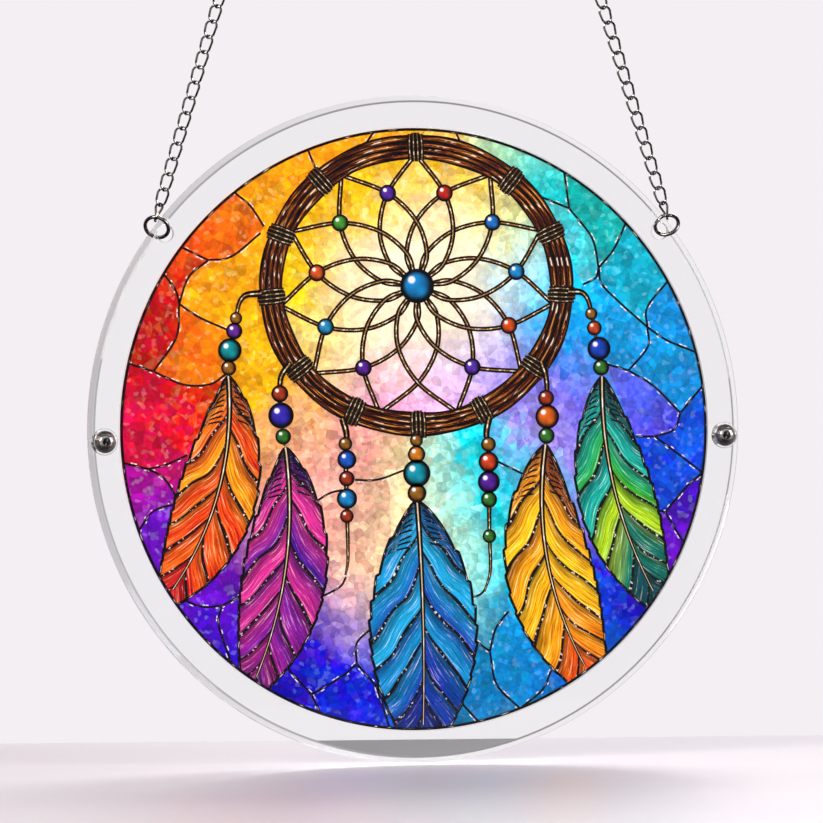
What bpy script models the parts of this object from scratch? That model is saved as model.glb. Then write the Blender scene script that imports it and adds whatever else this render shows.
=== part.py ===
"""Acrylic suncatcher: a printed disc held between two round clear sheets, hung by a fine chain.

Metres, +Z up, front faces -Y. The origin is the inner crown of the hanging ring, where a hook
carries the whole piece. Front and back below mean towards -Y and towards +Y.
"""

import math

import bmesh
import bpy
from mathutils import Matrix, Vector

MM = 0.001

# Gaps between pieces that touch or seat on each other
SEAT_GAP = 0.3 * MM
SHANK_CLEARANCE = 0.35 * MM
WIRE_CLEARANCE = 0.44 * MM

# Clear sheets
DISC_DIAMETER = 200 * MM
FRONT_SHEET_THICKNESS = 0.8 * MM
FRONT_EDGE_WALL = 0.3 * MM
FRONT_OUTER_FACET_WIDTH = 1.45 * MM
FRONT_OUTER_FACET_DEPTH = 0.2 * MM
FRONT_INNER_FACET_WIDTH = 0.6 * MM
BACK_FLOOR_THICKNESS = 0.7 * MM
BACK_BEVEL_WIDTH = 1.8 * MM
BACK_BEVEL_DEPTH = 0.5 * MM

# Printed disc, in a pocket of the back sheet
CLEAR_MARGIN = 9.7 * MM
PRINTED_DISC_THICKNESS = 0.4 * MM

# Side rings, through holes near the edge
RING_OUTER_DIAMETER = 8.4 * MM
RING_WIRE = 1.2 * MM
RING_HEIGHT_ANGLE = math.radians(37.8)
RING_TILT = math.radians(44)
RING_INSET_IN_HOLE = 0.6 * MM
HOLE_EDGE_BAR = 1.1 * MM

# Screws, washers and nuts, left and right in the clear margin
SCREW_EDGE_DISTANCE = 4.7 * MM
SCREW_DROP = 2.8 * MM
SCREW_SHANK_DIAMETER = 2.5 * MM
SCREW_HEAD_DIAMETER = 4.8 * MM
SCREW_HEAD_HEIGHT = 1.5 * MM
SCREW_END_BEYOND_NUT = 0.5 * MM
SCREW_END_CHAMFER = 0.375 * MM
RECESS_SPAN = 3.2 * MM
RECESS_SLOT_WIDTH = 0.7 * MM
RECESS_DEPTH = 0.8 * MM
CLEAR_WASHER_DIAMETER = 8.0 * MM
CLEAR_WASHER_THICKNESS = 0.7 * MM
CUP_WASHER_DIAMETER = 6.8 * MM
CUP_FLOOR_THICKNESS = 0.35 * MM
CUP_RIM_WIDTH = 0.55 * MM
CUP_RIM_HEIGHT = 0.8 * MM
CUP_RIM_CHAMFER = 0.14 * MM
NUT_ACROSS_FLATS = 5.0 * MM
NUT_THICKNESS = 1.8 * MM

# The pan head's crown, as shares of its radius and of its height from the top down
PAN_HEAD_PROFILE = ((0.45, 0.0), (0.85, 0.25), (1.0, 0.65))

# Chain, each half a straight run of twisted links
LINKS_PER_HALF = 56
LINK_LENGTH = 6.25 * MM
LINK_WIDTH = 4.0 * MM
LINK_WIRE = 0.75 * MM
LINK_FLAT_WIDTH = 0.86 * MM
LINK_CROWN_HALF = 0.65 * MM
LINK_SHOULDER = 1.3 * MM
LINK_CONTACT = 0.08 * MM
LINK_SIDE_TURN = math.radians(45)
RING_CONTACT_ANGLE = math.radians(52)

# Hanging ring at the top
HANGING_RING_OUTER_DIAMETER = 15 * MM
HANGING_RING_WIRE = 1.6 * MM

# Sides of the round forms, and the angle past which an edge looks sharp
DISC_SIDES = 72
HOLE_SIDES = 12
SMALL_HOLE_SIDES = 8
SCREW_SIDES = 12
WASHER_SIDES = 16
RING_SIDES = 20
WIRE_SIDES = 6
NUT_SIDES = 12
SHARP_EDGE_ANGLE = math.radians(35)

# Places worked out from the sizes above
DISC_RADIUS = DISC_DIAMETER / 2
PRINTED_DISC_RADIUS = DISC_RADIUS - CLEAR_MARGIN
POCKET_RADIUS = PRINTED_DISC_RADIUS + SEAT_GAP
POCKET_DEPTH = PRINTED_DISC_THICKNESS + SEAT_GAP
BACK_SHEET_THICKNESS = BACK_FLOOR_THICKNESS + POCKET_DEPTH
STACK_THICKNESS = FRONT_SHEET_THICKNESS + SEAT_GAP + BACK_SHEET_THICKNESS
FRONT_FACE_Y = -STACK_THICKNESS / 2
FRONT_SHEET_BACK_Y = FRONT_FACE_Y + FRONT_SHEET_THICKNESS
BACK_SHEET_FRONT_Y = FRONT_SHEET_BACK_Y + SEAT_GAP
BACK_FACE_Y = STACK_THICKNESS / 2

RING_RADIUS = (RING_OUTER_DIAMETER - RING_WIRE) / 2
HOLE_DIAMETER = (STACK_THICKNESS / math.tan(RING_TILT) + RING_WIRE / math.sin(RING_TILT)
                 + 2 * WIRE_CLEARANCE)
HOLE_CENTRE_RADIUS = DISC_RADIUS - HOLE_EDGE_BAR - HOLE_DIAMETER / 2
RING_CENTRE_RADIUS = HOLE_CENTRE_RADIUS - RING_INSET_IN_HOLE + RING_RADIUS

HANGING_RING_RADIUS = (HANGING_RING_OUTER_DIAMETER - HANGING_RING_WIRE) / 2
HANGING_RING_INNER_RADIUS = HANGING_RING_OUTER_DIAMETER / 2 - HANGING_RING_WIRE
HANGING_RING_CENTRE = Vector((0, 0, -HANGING_RING_INNER_RADIUS))

LINK_PITCH = LINK_LENGTH - 2 * LINK_WIRE
CHAIN_REACH = LINKS_PER_HALF * LINK_PITCH - 2 * SEAT_GAP + HANGING_RING_INNER_RADIUS - RING_WIRE / 2


def circle(radius, sides, y=0.0):
    """Points of a circle round the Y axis."""
    turns = [2 * math.pi * k / sides for k in range(sides)]
    return [Vector((radius * math.cos(a), y, radius * math.sin(a))) for a in turns]


def skin(bm, loops, closed):
    """Joins loops of points in their order.

    A closed skin returns to its first loop, and an open one is capped at both ends.
    """
    rings = [[bm.verts.new(point) for point in loop] for loop in loops]
    followers = rings[1:] + rings[:1] if closed else rings[1:]
    for ring, follower in zip(rings, followers):
        for k in range(len(ring)):
            bm.faces.new((ring[k - 1], ring[k], follower[k], follower[k - 1]))
    if not closed:
        bm.faces.new(rings[0])
        bm.faces.new(rings[-1])
    return rings


def add_object(name, bm, finish, parent, place):
    """Turns a bmesh into a named object with its faces outwards, placed under its parent."""
    bmesh.ops.recalc_face_normals(bm, faces=bm.faces[:])
    mesh = bpy.data.meshes.new(name)
    bm.to_mesh(mesh)
    bm.free()
    mesh.shade_smooth()
    mesh.set_sharp_from_angle(angle=SHARP_EDGE_ANGLE)
    ob = bpy.data.objects.new(name, mesh)
    if finish is not None:
        mesh.materials.append(finish)
    bpy.context.collection.objects.link(ob)
    ob.parent = parent
    ob.matrix_local = place
    return ob


def turned(name, profile, sides, finish, parent, place, closed):
    """A turned form: each point of the profile is a radius and a place along Y."""
    bm = bmesh.new()
    skin(bm, [circle(radius, sides, y) for radius, y in profile], closed)
    return add_object(name, bm, finish, parent, place)


def cut(ob, cutter):
    """Cuts a piece by a guide that isn't part of the model."""
    cutter.hide_render = True
    cutter.display_type = "WIRE"
    modifier = ob.modifiers.new("cut", "BOOLEAN")
    modifier.operation = "DIFFERENCE"
    modifier.solver = "EXACT"
    modifier.object = cutter


def plain_finish(name, colour, roughness, metallic, transmission=0.0):
    """A material of one colour."""
    finish = bpy.data.materials.new(name)
    finish.use_nodes = True
    shader = finish.node_tree.nodes["Principled BSDF"]
    shader.inputs["Base Color"].default_value = (*colour, 1)
    shader.inputs["Roughness"].default_value = roughness
    shader.inputs["Metallic"].default_value = metallic
    shader.inputs["Transmission Weight"].default_value = transmission
    return finish


def side_directions(side):
    """Outward and along-the-edge directions at a side ring's place: -1 is left, 1 is right."""
    rise, run = math.sin(RING_HEIGHT_ANGLE), math.cos(RING_HEIGHT_ANGLE)
    return Vector((side * run, 0, rise)), Vector((-side * rise, 0, run))


def ring_frame(side):
    """A side ring's centre from the disc's centre, and the two directions of its plane."""
    outward, along = side_directions(side)
    lean = Vector((0, side, 0))
    across = math.cos(RING_TILT) * along + math.sin(RING_TILT) * lean
    return RING_CENTRE_RADIUS * outward, outward, across


def chain_end(side):
    """Where the first link bears on the side ring's wire, from the disc's centre, and the wire's direction."""
    centre, outward, across = ring_frame(side)
    cosine, sine = math.cos(RING_CONTACT_ANGLE), math.sin(RING_CONTACT_ANGLE)
    place = centre + RING_RADIUS * (cosine * outward + sine * across)
    return place, cosine * across - sine * outward


def disc_centre():
    """The disc hangs where both chain halves are straight, in line with the hanging ring's centre."""
    end, _ = chain_end(1)
    drop = math.sqrt(CHAIN_REACH ** 2 - end.x ** 2 - end.y ** 2)
    return Vector((0, 0, HANGING_RING_CENTRE.z - drop - end.z))


def screw_place(centre, side):
    """The axis of a screw, in the clear margin."""
    x = side * (DISC_RADIUS - SCREW_EDGE_DISTANCE)
    return Matrix.Translation(centre + Vector((x, 0, -SCREW_DROP)))


def holes_cutter(parent, place):
    """Guides for the ring holes and the screw holes, through both sheets."""
    bm = bmesh.new()
    reach = STACK_THICKNESS
    for side in (-1, 1):
        outward, _ = side_directions(side)
        screw = Vector((side * (DISC_RADIUS - SCREW_EDGE_DISTANCE), 0, -SCREW_DROP))
        bores = (
            (HOLE_CENTRE_RADIUS * outward, HOLE_DIAMETER / 2, HOLE_SIDES),
            (screw, SCREW_SHANK_DIAMETER / 2 + SHANK_CLEARANCE, SMALL_HOLE_SIDES),
        )
        for centre, radius, sides in bores:
            corner_radius = radius / math.cos(math.pi / sides)
            loops = []
            for y in (-reach, reach):
                loops.append([centre + point for point in circle(corner_radius, sides, y)])
            skin(bm, loops, closed=False)
    return add_object("sheet_holes", bm, None, parent, place)


def build_sheets(parent, place, clear, print_finish):
    """The two clear sheets and the printed disc between them."""
    outer_facet_y = FRONT_SHEET_BACK_Y - FRONT_EDGE_WALL - FRONT_OUTER_FACET_DEPTH
    inner_radius = DISC_RADIUS - FRONT_OUTER_FACET_WIDTH - FRONT_INNER_FACET_WIDTH
    front = turned("front_sheet", [
        (inner_radius, FRONT_FACE_Y),
        (DISC_RADIUS - FRONT_OUTER_FACET_WIDTH, outer_facet_y),
        (DISC_RADIUS, FRONT_SHEET_BACK_Y - FRONT_EDGE_WALL),
        (DISC_RADIUS, FRONT_SHEET_BACK_Y),
    ], DISC_SIDES, clear, parent, place, closed=False)
    back = turned("back_sheet", [
        (POCKET_RADIUS, BACK_SHEET_FRONT_Y + POCKET_DEPTH),
        (POCKET_RADIUS, BACK_SHEET_FRONT_Y),
        (DISC_RADIUS, BACK_SHEET_FRONT_Y),
        (DISC_RADIUS, BACK_FACE_Y - BACK_BEVEL_DEPTH),
        (DISC_RADIUS - BACK_BEVEL_WIDTH, BACK_FACE_Y),
    ], DISC_SIDES, clear, parent, place, closed=False)
    holes = holes_cutter(parent, place)
    cut(front, holes)
    cut(back, holes)
    turned("printed_disc", [
        (PRINTED_DISC_RADIUS, BACK_SHEET_FRONT_Y),
        (PRINTED_DISC_RADIUS, BACK_SHEET_FRONT_Y + PRINTED_DISC_THICKNESS),
    ], DISC_SIDES, print_finish, parent, place, closed=False)


def recess_cutter(name, top_y, parent, place):
    """A cross-shaped guide for the recess in a screw head."""
    span, slot = RECESS_SPAN / 2, RECESS_SLOT_WIDTH / 2
    outline = []
    for quarter in range(4):
        turn = Matrix.Rotation(quarter * math.pi / 2, 3, "Y")
        corners = ((slot, 0, slot), (span, 0, slot), (span, 0, -slot))
        outline += [turn @ Vector(corner) for corner in corners]
    bm = bmesh.new()
    depths = (top_y - RECESS_DEPTH, top_y + RECESS_DEPTH)
    skin(bm, [[point + Vector((0, y, 0)) for point in outline] for y in depths], closed=False)
    return add_object(name, bm, None, parent, place)


def build_fastener(side_name, parent, place, steel, clear):
    """A screw with its clear washer, cup washer and nut."""
    shank = SCREW_SHANK_DIAMETER / 2
    bore = shank + SHANK_CLEARANCE
    clear_back = FRONT_FACE_Y - SEAT_GAP
    clear_front = clear_back - CLEAR_WASHER_THICKNESS
    cup_back = clear_front - SEAT_GAP
    cup_floor = cup_back - CUP_FLOOR_THICKNESS
    cup_rim = cup_back - CUP_RIM_HEIGHT
    head_base = cup_floor - SEAT_GAP
    head_top = head_base - SCREW_HEAD_HEIGHT
    nut_front = BACK_FACE_Y + SEAT_GAP
    nut_back = nut_front + NUT_THICKNESS
    screw_end = nut_back + SCREW_END_BEYOND_NUT

    head = SCREW_HEAD_DIAMETER / 2
    profile = [(r * head, head_top + depth * SCREW_HEAD_HEIGHT) for r, depth in PAN_HEAD_PROFILE]
    profile += [
        (head, head_base),
        (shank, head_base),
        (shank, screw_end - SCREW_END_CHAMFER),
        (shank - SCREW_END_CHAMFER, screw_end),
    ]
    screw = turned(f"screw_{side_name}", profile, SCREW_SIDES, steel, parent, place, closed=False)
    cut(screw, recess_cutter(f"recess_{side_name}", head_top, parent, place))

    washer = CLEAR_WASHER_DIAMETER / 2
    turned(f"clear_washer_{side_name}", [
        (bore, clear_back),
        (washer, clear_back),
        (washer, clear_front),
        (bore, clear_front),
    ], WASHER_SIDES, clear, parent, place, closed=True)

    cup = CUP_WASHER_DIAMETER / 2
    turned(f"cup_washer_{side_name}", [
        (bore, cup_back),
        (cup, cup_back),
        (cup - CUP_RIM_CHAMFER, cup_rim),
        (cup - CUP_RIM_WIDTH, cup_rim),
        (cup - CUP_RIM_WIDTH, cup_floor),
        (bore, cup_floor),
    ], WASHER_SIDES, steel, parent, place, closed=True)

    corner = NUT_ACROSS_FLATS / 2 / math.cos(math.pi / 6)
    hexagon = []
    for k, point in enumerate(circle(corner, NUT_SIDES)):
        hexagon.append(point if k % 2 == 0 else point * math.cos(math.pi / 6))
    inner = circle(bore, NUT_SIDES)
    front, back = Vector((0, nut_front, 0)), Vector((0, nut_back, 0))
    bm = bmesh.new()
    loops = [[point + shift for point in loop] for loop, shift in
             ((inner, front), (hexagon, front), (hexagon, back), (inner, back))]
    skin(bm, loops, closed=True)
    add_object(f"nut_{side_name}", bm, steel, parent, place)


def wire_ring(name, radius, wire, centre, first, second, steel, parent):
    """A round wire ring in the plane of two square directions."""
    normal = first.cross(second)
    bm = bmesh.new()
    loops = []
    for k in range(RING_SIDES):
        angle = 2 * math.pi * k / RING_SIDES
        out = math.cos(angle) * first + math.sin(angle) * second
        section = []
        for j in range(WIRE_SIDES):
            turn = 2 * math.pi * j / WIRE_SIDES
            reach = radius + wire / 2 * math.cos(turn)
            section.append(out * reach + normal * (wire / 2 * math.sin(turn)))
        loops.append(section)
    skin(bm, loops, closed=True)
    return add_object(name, bm, steel, parent, Matrix.Translation(centre))


def link_sections(foot, bottom_turn, top_turn):
    """Sections round one link, each of two inner corners and an outer edge.

    foot is the height of the link's lower contact.
    """
    half = (LINK_LENGTH - LINK_WIRE) / 2
    side = (LINK_WIDTH - LINK_WIRE) / 2
    outline = [(LINK_CROWN_HALF, half), (side, LINK_SHOULDER)]
    outline += [(x, -z) for x, z in reversed(outline)]
    outline += [(-x, -z) for x, z in outline]
    inward = LINK_WIRE / 2 - LINK_CONTACT / 2
    middle = foot + LINK_PITCH / 2
    sections = []
    for x, z in outline:
        share = (z + half) / (2 * half)
        turn = Matrix.Rotation(bottom_turn + share * (top_turn - bottom_turn), 3, "Z")
        inner = Vector((x * (1 - inward / side), 0, z * (1 - inward / half)))
        outer = Vector((x * (1 + LINK_WIRE / 2 / side), 0, z * (1 + LINK_WIRE / 2 / half)))
        width = Vector((0, LINK_FLAT_WIDTH / 2, 0))
        corners = (inner + width, inner - width, outer)
        sections.append([turn @ corner + Vector((0, 0, middle)) for corner in corners])
    return sections


def crown_corners(rings, first, second):
    """The four inner corners of a crown, in order round the chain's axis."""
    return [rings[first][0], rings[first][1], rings[second][1], rings[second][0]]


def bridge_contact(bm, lower, upper, reference_turn):
    """Opens the crown faces of two links where they bear on each other, and joins the openings."""
    for corners in (lower, upper):
        shared = set(corners[0].link_faces)
        for vert in corners[1:]:
            shared &= set(vert.link_faces)
        bmesh.ops.delete(bm, geom=list(shared), context="FACES_ONLY")

    def angle(vert):
        turn = math.atan2(vert.co.y, vert.co.x) - reference_turn
        return turn % (2 * math.pi)

    lower = sorted(lower, key=angle)
    upper = sorted(upper, key=angle)
    for k in range(4):
        bm.faces.new((lower[k - 1], lower[k], upper[k], upper[k - 1]))


def build_chain(name, side, centre, steel, parent):
    """One half of the chain, from its side ring up to the hanging ring."""
    end, wire = chain_end(side)
    start = centre + end
    axis = (HANGING_RING_CENTRE - start).normalized()
    across = Vector((1, 0, 0))
    across = (across - across.dot(axis) * axis).normalized() * side
    frame = Matrix((across, axis.cross(across), axis)).transposed()
    place = Matrix.Translation(start - (RING_WIRE / 2 + SEAT_GAP) * axis) @ frame.to_4x4()
    wire = frame.inverted() @ wire
    square_to_wire = (math.atan2(wire.y, wire.x) + math.pi / 2) % math.pi

    bm = bmesh.new()
    links = []
    for k in range(LINKS_PER_HALF):
        bottom_turn, top_turn = LINK_SIDE_TURN, -LINK_SIDE_TURN
        if k == 0:
            bottom_turn, top_turn = square_to_wire, math.pi - LINK_SIDE_TURN
        if k == LINKS_PER_HALF - 1:
            top_turn = math.pi / 2
        links.append(skin(bm, link_sections(k * LINK_PITCH, bottom_turn, top_turn), closed=True))
    for lower, upper in zip(links, links[1:]):
        bridge_contact(bm, crown_corners(lower, -1, 0), crown_corners(upper, 3, 4), -LINK_SIDE_TURN)
    return add_object(name, bm, steel, parent, place)


def build():
    """Builds every piece under one empty at the origin."""
    for ob in list(bpy.data.objects):
        bpy.data.objects.remove(ob, do_unlink=True)
    clear = plain_finish("clear cast acrylic", (0.95, 0.97, 0.98), 0.05, 0.0, transmission=1.0)
    print_finish = plain_finish("printed translucent acrylic", (0.45, 0.3, 0.55), 0.3, 0.0)
    steel = plain_finish("nickel-plated steel", (0.42, 0.41, 0.4), 0.2, 1.0)

    root = bpy.data.objects.new("suncatcher", None)
    bpy.context.collection.objects.link(root)
    centre = disc_centre()
    build_sheets(root, Matrix.Translation(centre), clear, print_finish)
    for side, side_name in ((-1, "left"), (1, "right")):
        build_fastener(side_name, root, screw_place(centre, side), steel, clear)
        ring_centre, outward, across = ring_frame(side)
        wire_ring(f"side_ring_{side_name}", RING_RADIUS, RING_WIRE, centre + ring_centre,
                  outward, across, steel, root)
        build_chain(f"chain_{side_name}", side, centre, steel, root)
    wire_ring("hanging_ring", HANGING_RING_RADIUS, HANGING_RING_WIRE, HANGING_RING_CENTRE,
              Vector((0, 0, 1)), Vector((1, 0, 0)), steel, root)


build()
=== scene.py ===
"""Looks of the acrylic suncatcher: clear sheets, printed dreamcatcher picture, screws, rings and chain.

Metres, +Z up, the front faces -Y. The picture's own sizes are in millimetres from the disc's centre.
"""

import logging
import math
from dataclasses import dataclass
from enum import Enum
from functools import cache, partial
from typing import Callable, Sequence

import bmesh
import bpy
from bmesh.types import BMesh
from bpy.types import Material, Mesh, Node, NodeSocket, NodeTree, Object
from mathutils import Matrix, Vector


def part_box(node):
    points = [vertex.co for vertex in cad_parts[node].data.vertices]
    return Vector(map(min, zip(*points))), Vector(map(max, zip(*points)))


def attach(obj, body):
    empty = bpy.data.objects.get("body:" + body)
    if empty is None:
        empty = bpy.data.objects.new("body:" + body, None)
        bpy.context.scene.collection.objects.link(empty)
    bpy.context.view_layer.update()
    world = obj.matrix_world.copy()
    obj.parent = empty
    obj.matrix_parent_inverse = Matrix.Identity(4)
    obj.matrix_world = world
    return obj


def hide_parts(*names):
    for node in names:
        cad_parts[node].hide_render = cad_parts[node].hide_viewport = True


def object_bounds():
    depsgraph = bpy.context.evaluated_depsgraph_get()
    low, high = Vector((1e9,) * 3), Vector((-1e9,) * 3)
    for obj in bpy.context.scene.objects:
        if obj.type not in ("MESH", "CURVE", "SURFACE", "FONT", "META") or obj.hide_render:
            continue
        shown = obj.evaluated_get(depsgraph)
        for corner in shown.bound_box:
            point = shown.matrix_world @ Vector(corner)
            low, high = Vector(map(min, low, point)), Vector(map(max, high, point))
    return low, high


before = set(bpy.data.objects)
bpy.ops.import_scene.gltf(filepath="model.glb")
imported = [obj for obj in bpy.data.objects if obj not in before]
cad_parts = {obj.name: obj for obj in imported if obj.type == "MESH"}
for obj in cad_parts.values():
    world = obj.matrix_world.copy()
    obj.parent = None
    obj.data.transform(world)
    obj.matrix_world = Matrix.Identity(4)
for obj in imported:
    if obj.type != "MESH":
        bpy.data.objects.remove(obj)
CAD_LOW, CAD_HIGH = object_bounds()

LOG = logging.getLogger("suncatcher")
MM = 0.001
BODY = "root"
SEAT_GAP = 0.3 * MM
SHARP_EDGE_ANGLE = math.radians(35)
SHEET_EDGE_ANGLE = math.radians(3)
INK_GLOSS = 0.2
WHITE = (1.0, 1.0, 1.0, 1.0)
RING_STEPS = 72
WIRE_SIDES = 14

Point = tuple[float, float]
Colour = tuple[float, float, float, float]
Ramp = Sequence[tuple[float, str]]


class Slot(Enum):
    """The record's material slots."""

    CLEAR = "clear_acrylic"
    PRINT = "printed_acrylic"
    STEEL = "plated_steel"


class Side(Enum):
    """Left or right of the disc, as the sign of X."""

    LEFT = -1
    RIGHT = 1


class PrintFace(Enum):
    """The face of the printed disc that a film lies on, as the sign of Y."""

    FRONT = -1
    BACK = 1


def linear(code: str) -> Colour:
    """Turns an sRGB hex colour into linear light.

    Args:
        code: the colour as "#rrggbb".

    Returns:
        Red, green, blue and an opacity of one.
    """
    shares = [int(code[k:k + 2], 16) / 255 for k in (1, 3, 5)]
    red, green, blue = (s / 12.92 if s <= 0.04045 else ((s + 0.055) / 1.055) ** 2.4 for s in shares)
    return red, green, blue, 1.0


def plug(tree: NodeTree, node: Node, sockets: dict | Sequence) -> None:
    """Sets or links a node's inputs.

    Args:
        tree: the node's tree.
        node: the node.
        sockets: what goes into each input, by name or in order: a value, an output, or a node that
            stands for its first output in use.
    """
    named = isinstance(sockets, dict)
    goals = [node.inputs[key] for key in sockets] if named else [s for s in node.inputs if s.enabled]
    for goal, value in zip(goals, sockets.values() if named else sockets):
        if isinstance(value, Node):
            value = next(s for s in value.outputs if s.enabled)
        if isinstance(value, NodeSocket):
            tree.links.new(value, goal)
        else:
            goal.default_value = value


def add_node(tree: NodeTree, kind: str, sockets: dict | Sequence = (), ramp: Ramp = (),
             **settings: object) -> Node:
    """Adds a node with its settings and links.

    Args:
        tree: the tree that gets the node.
        kind: the node's type, without "ShaderNode" where that is how it starts.
        sockets: what goes into its inputs, as for plug.
        ramp: places and hex colours, where the node holds a colour ramp.
        settings: the node's own properties.

    Returns:
        The node.
    """
    node = tree.nodes.new(kind if "Node" in kind else f"ShaderNode{kind}")
    for name, value in settings.items():
        setattr(node, name, value)
    plug(tree, node, sockets)
    for k, (place, code) in enumerate(ramp):
        stops = node.color_ramp.elements
        stop = stops[k] if k < 2 else stops.new(place)
        stop.position = place
        stop.color = linear(code)
    return node


def new_finish(name: str, gloss: float = 0.5) -> tuple[Material, NodeTree, Node]:
    """Starts a material.

    Args:
        name: what the real surface is.
        gloss: strength of the reflection at its face.

    Returns:
        The material, its node tree and its Principled shader.
    """
    material = bpy.data.materials.new(name)
    material.use_nodes = True
    tree = material.node_tree
    shader = tree.nodes["Principled BSDF"]
    plug(tree, shader, {"Specular IOR Level": gloss})
    return material, tree, shader


def link(name: str, data: object) -> Object:
    """Puts a mesh, lamp or camera into the scene as an object.

    Args:
        name: its name.
        data: what it shows.

    Returns:
        The object.
    """
    item = bpy.data.objects.new(name, data)
    bpy.context.scene.collection.objects.link(item)
    return item


def add_piece(name: str, mesh: Mesh, material: Material, slot: Slot, replaces: Sequence[str] = ()) -> None:
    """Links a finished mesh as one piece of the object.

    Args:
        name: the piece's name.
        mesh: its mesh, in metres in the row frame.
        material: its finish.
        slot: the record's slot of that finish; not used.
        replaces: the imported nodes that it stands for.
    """
    mesh.name = name
    mesh.materials.clear()
    mesh.materials.append(material)
    piece = link(name, mesh)
    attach(piece, BODY)
    if replaces:
        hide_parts(*replaces)
    LOG.info("%s: %d faces in %s", name, len(mesh.polygons), material.name)


def shaded(mesh: Mesh, angle: float = SHARP_EDGE_ANGLE) -> Mesh:
    """Smooths a mesh but for edges that bend more than an angle, and returns it.

    Args:
        mesh: the mesh.
        angle: the bend from which an edge stays sharp.

    Returns:
        The same mesh.
    """
    mesh.shade_smooth()
    mesh.set_sharp_from_angle(angle=angle)
    return mesh


def to_mesh(name: str, bm: BMesh, recalculate: bool = True) -> Mesh:
    """Turns a bmesh into a smooth mesh with sharp edges where it bends.

    Args:
        name: the mesh's name.
        bm: the bmesh, which is freed.
        recalculate: whether the faces are turned outwards first.

    Returns:
        The mesh.
    """
    if recalculate:
        bmesh.ops.recalc_face_normals(bm, faces=bm.faces[:])
    mesh = bpy.data.meshes.new(name)
    bm.to_mesh(mesh)
    bm.free()
    return shaded(mesh)


def evaluated(name: str, mesh: Mesh, modify: Callable[[Object], None]) -> Mesh:
    """Runs modifiers on a mesh and keeps the plain result.

    Args:
        name: the result's name.
        mesh: the mesh to start from.
        modify: adds the modifiers to an object that holds the mesh.

    Returns:
        The plain mesh.
    """
    holder = link(f"{name}_holder", mesh)
    modify(holder)
    result = bpy.data.meshes.new_from_object(holder.evaluated_get(bpy.context.evaluated_depsgraph_get()))
    holder.modifiers.clear()
    bpy.data.objects.remove(holder)
    result.name = name
    return result


def cut_away(holder: Object, cutters: Sequence[Object]) -> None:
    """Adds a modifier for each cutter that cuts it away from an object.

    Args:
        holder: the object.
        cutters: what is cut away.
    """
    for cutter in cutters:
        modifier = holder.modifiers.new("cut", "BOOLEAN")
        modifier.operation = "DIFFERENCE"
        modifier.object = cutter


def grow(holder: Object, tree: NodeTree, values: dict[str, object]) -> None:
    """Adds a geometry tree to an object.

    Args:
        holder: the object.
        tree: the geometry tree.
        values: a value for each named input of the tree.
    """
    modifier = holder.modifiers.new(tree.name, "NODES")
    modifier.node_group = tree
    for item in tree.interface.items_tree:
        if item.in_out == "INPUT" and item.name in values:
            modifier[item.identifier] = values[item.name]


def geometry_tree(name: str, inputs: dict[str, str]) -> tuple[NodeTree, Node]:
    """Starts a geometry tree.

    Args:
        name: its name.
        inputs: the kind of each named input after the geometry, such as "Int".

    Returns:
        The tree and the node that gives its inputs.
    """
    tree = bpy.data.node_groups.new(name, "GeometryNodeTree")
    for label, kind in {"Geometry": "Geometry", **inputs}.items():
        tree.interface.new_socket(label, in_out="INPUT", socket_type=f"NodeSocket{kind}")
    tree.interface.new_socket("Geometry", in_out="OUTPUT", socket_type="NodeSocketGeometry")
    return tree, add_node(tree, "NodeGroupInput")


def end_tree(tree: NodeTree, copies: Node, given: Node) -> None:
    """Turns a geometry tree's copies into real faces in its finish, as its output.

    Args:
        tree: the tree.
        copies: the node that makes the copies.
        given: the node that gives the tree's inputs.
    """
    real = add_node(tree, "GeometryNodeRealizeInstances", (copies,))
    finished = add_node(tree, "GeometryNodeSetMaterial", {
        "Geometry": real, "Material": given.outputs["Finish"]})
    add_node(tree, "NodeGroupOutput", (finished,))


def spokes(sides: int) -> list[Point]:
    """Cosine and sine of equal steps of a full turn."""
    turns = [2 * math.pi * k / sides for k in range(sides)]
    return [(math.cos(a), math.sin(a)) for a in turns]


def skin(bm: BMesh, loops: Sequence[Sequence[Vector]], closed: bool) -> None:
    """Joins loops of points in their order.

    Args:
        bm: the bmesh that gets the faces.
        loops: rings of as many points each.
        closed: whether the last ring joins the first; otherwise both ends are capped.
    """
    rings = [[bm.verts.new(point) for point in loop] for loop in loops]
    followers = rings[1:] + rings[:1] if closed else rings[1:]
    for ring, follower in zip(rings, followers):
        for k in range(len(ring)):
            bm.faces.new((ring[k - 1], ring[k], follower[k], follower[k - 1]))
    if not closed:
        bm.faces.new(rings[0])
        bm.faces.new(rings[-1])


def turned(name: str, profile: Sequence[Point], sides: int, centre: Vector, closed: bool) -> Mesh:
    """A form turned about an axis along Y.

    Args:
        name: the mesh's name.
        profile: radius and place along Y of each point.
        sides: how many sides.
        centre: a point of the axis, added to every point.
        closed: whether the profile closes on itself, as a washer's does.

    Returns:
        The form.
    """
    bm = bmesh.new()
    skin(bm, [[centre + Vector((r * c, y, r * s)) for c, s in spokes(sides)] for r, y in profile], closed)
    return to_mesh(name, bm)


def rounded(profile: Sequence[Point], radius: float, steps: int = 3) -> list[Point]:
    """Rounds the corners of an outline.

    Args:
        profile: the corners, in order round a closed outline.
        radius: how far from each corner the rounding starts.
        steps: how many points less one each corner gets.

    Returns:
        The rounded outline.
    """
    result = []
    for k, corner in enumerate(profile):
        here = Vector(corner)
        before, after = Vector(profile[k - 1]), Vector(profile[(k + 1) % len(profile)])
        start = here + (before - here).normalized() * min(radius, (before - here).length / 3)
        end = here + (after - here).normalized() * min(radius, (after - here).length / 3)
        for step in range(steps + 1):
            t = step / steps
            result.append(tuple((1 - t) ** 2 * start + 2 * t * (1 - t) * here + t ** 2 * end))
    return result


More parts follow.
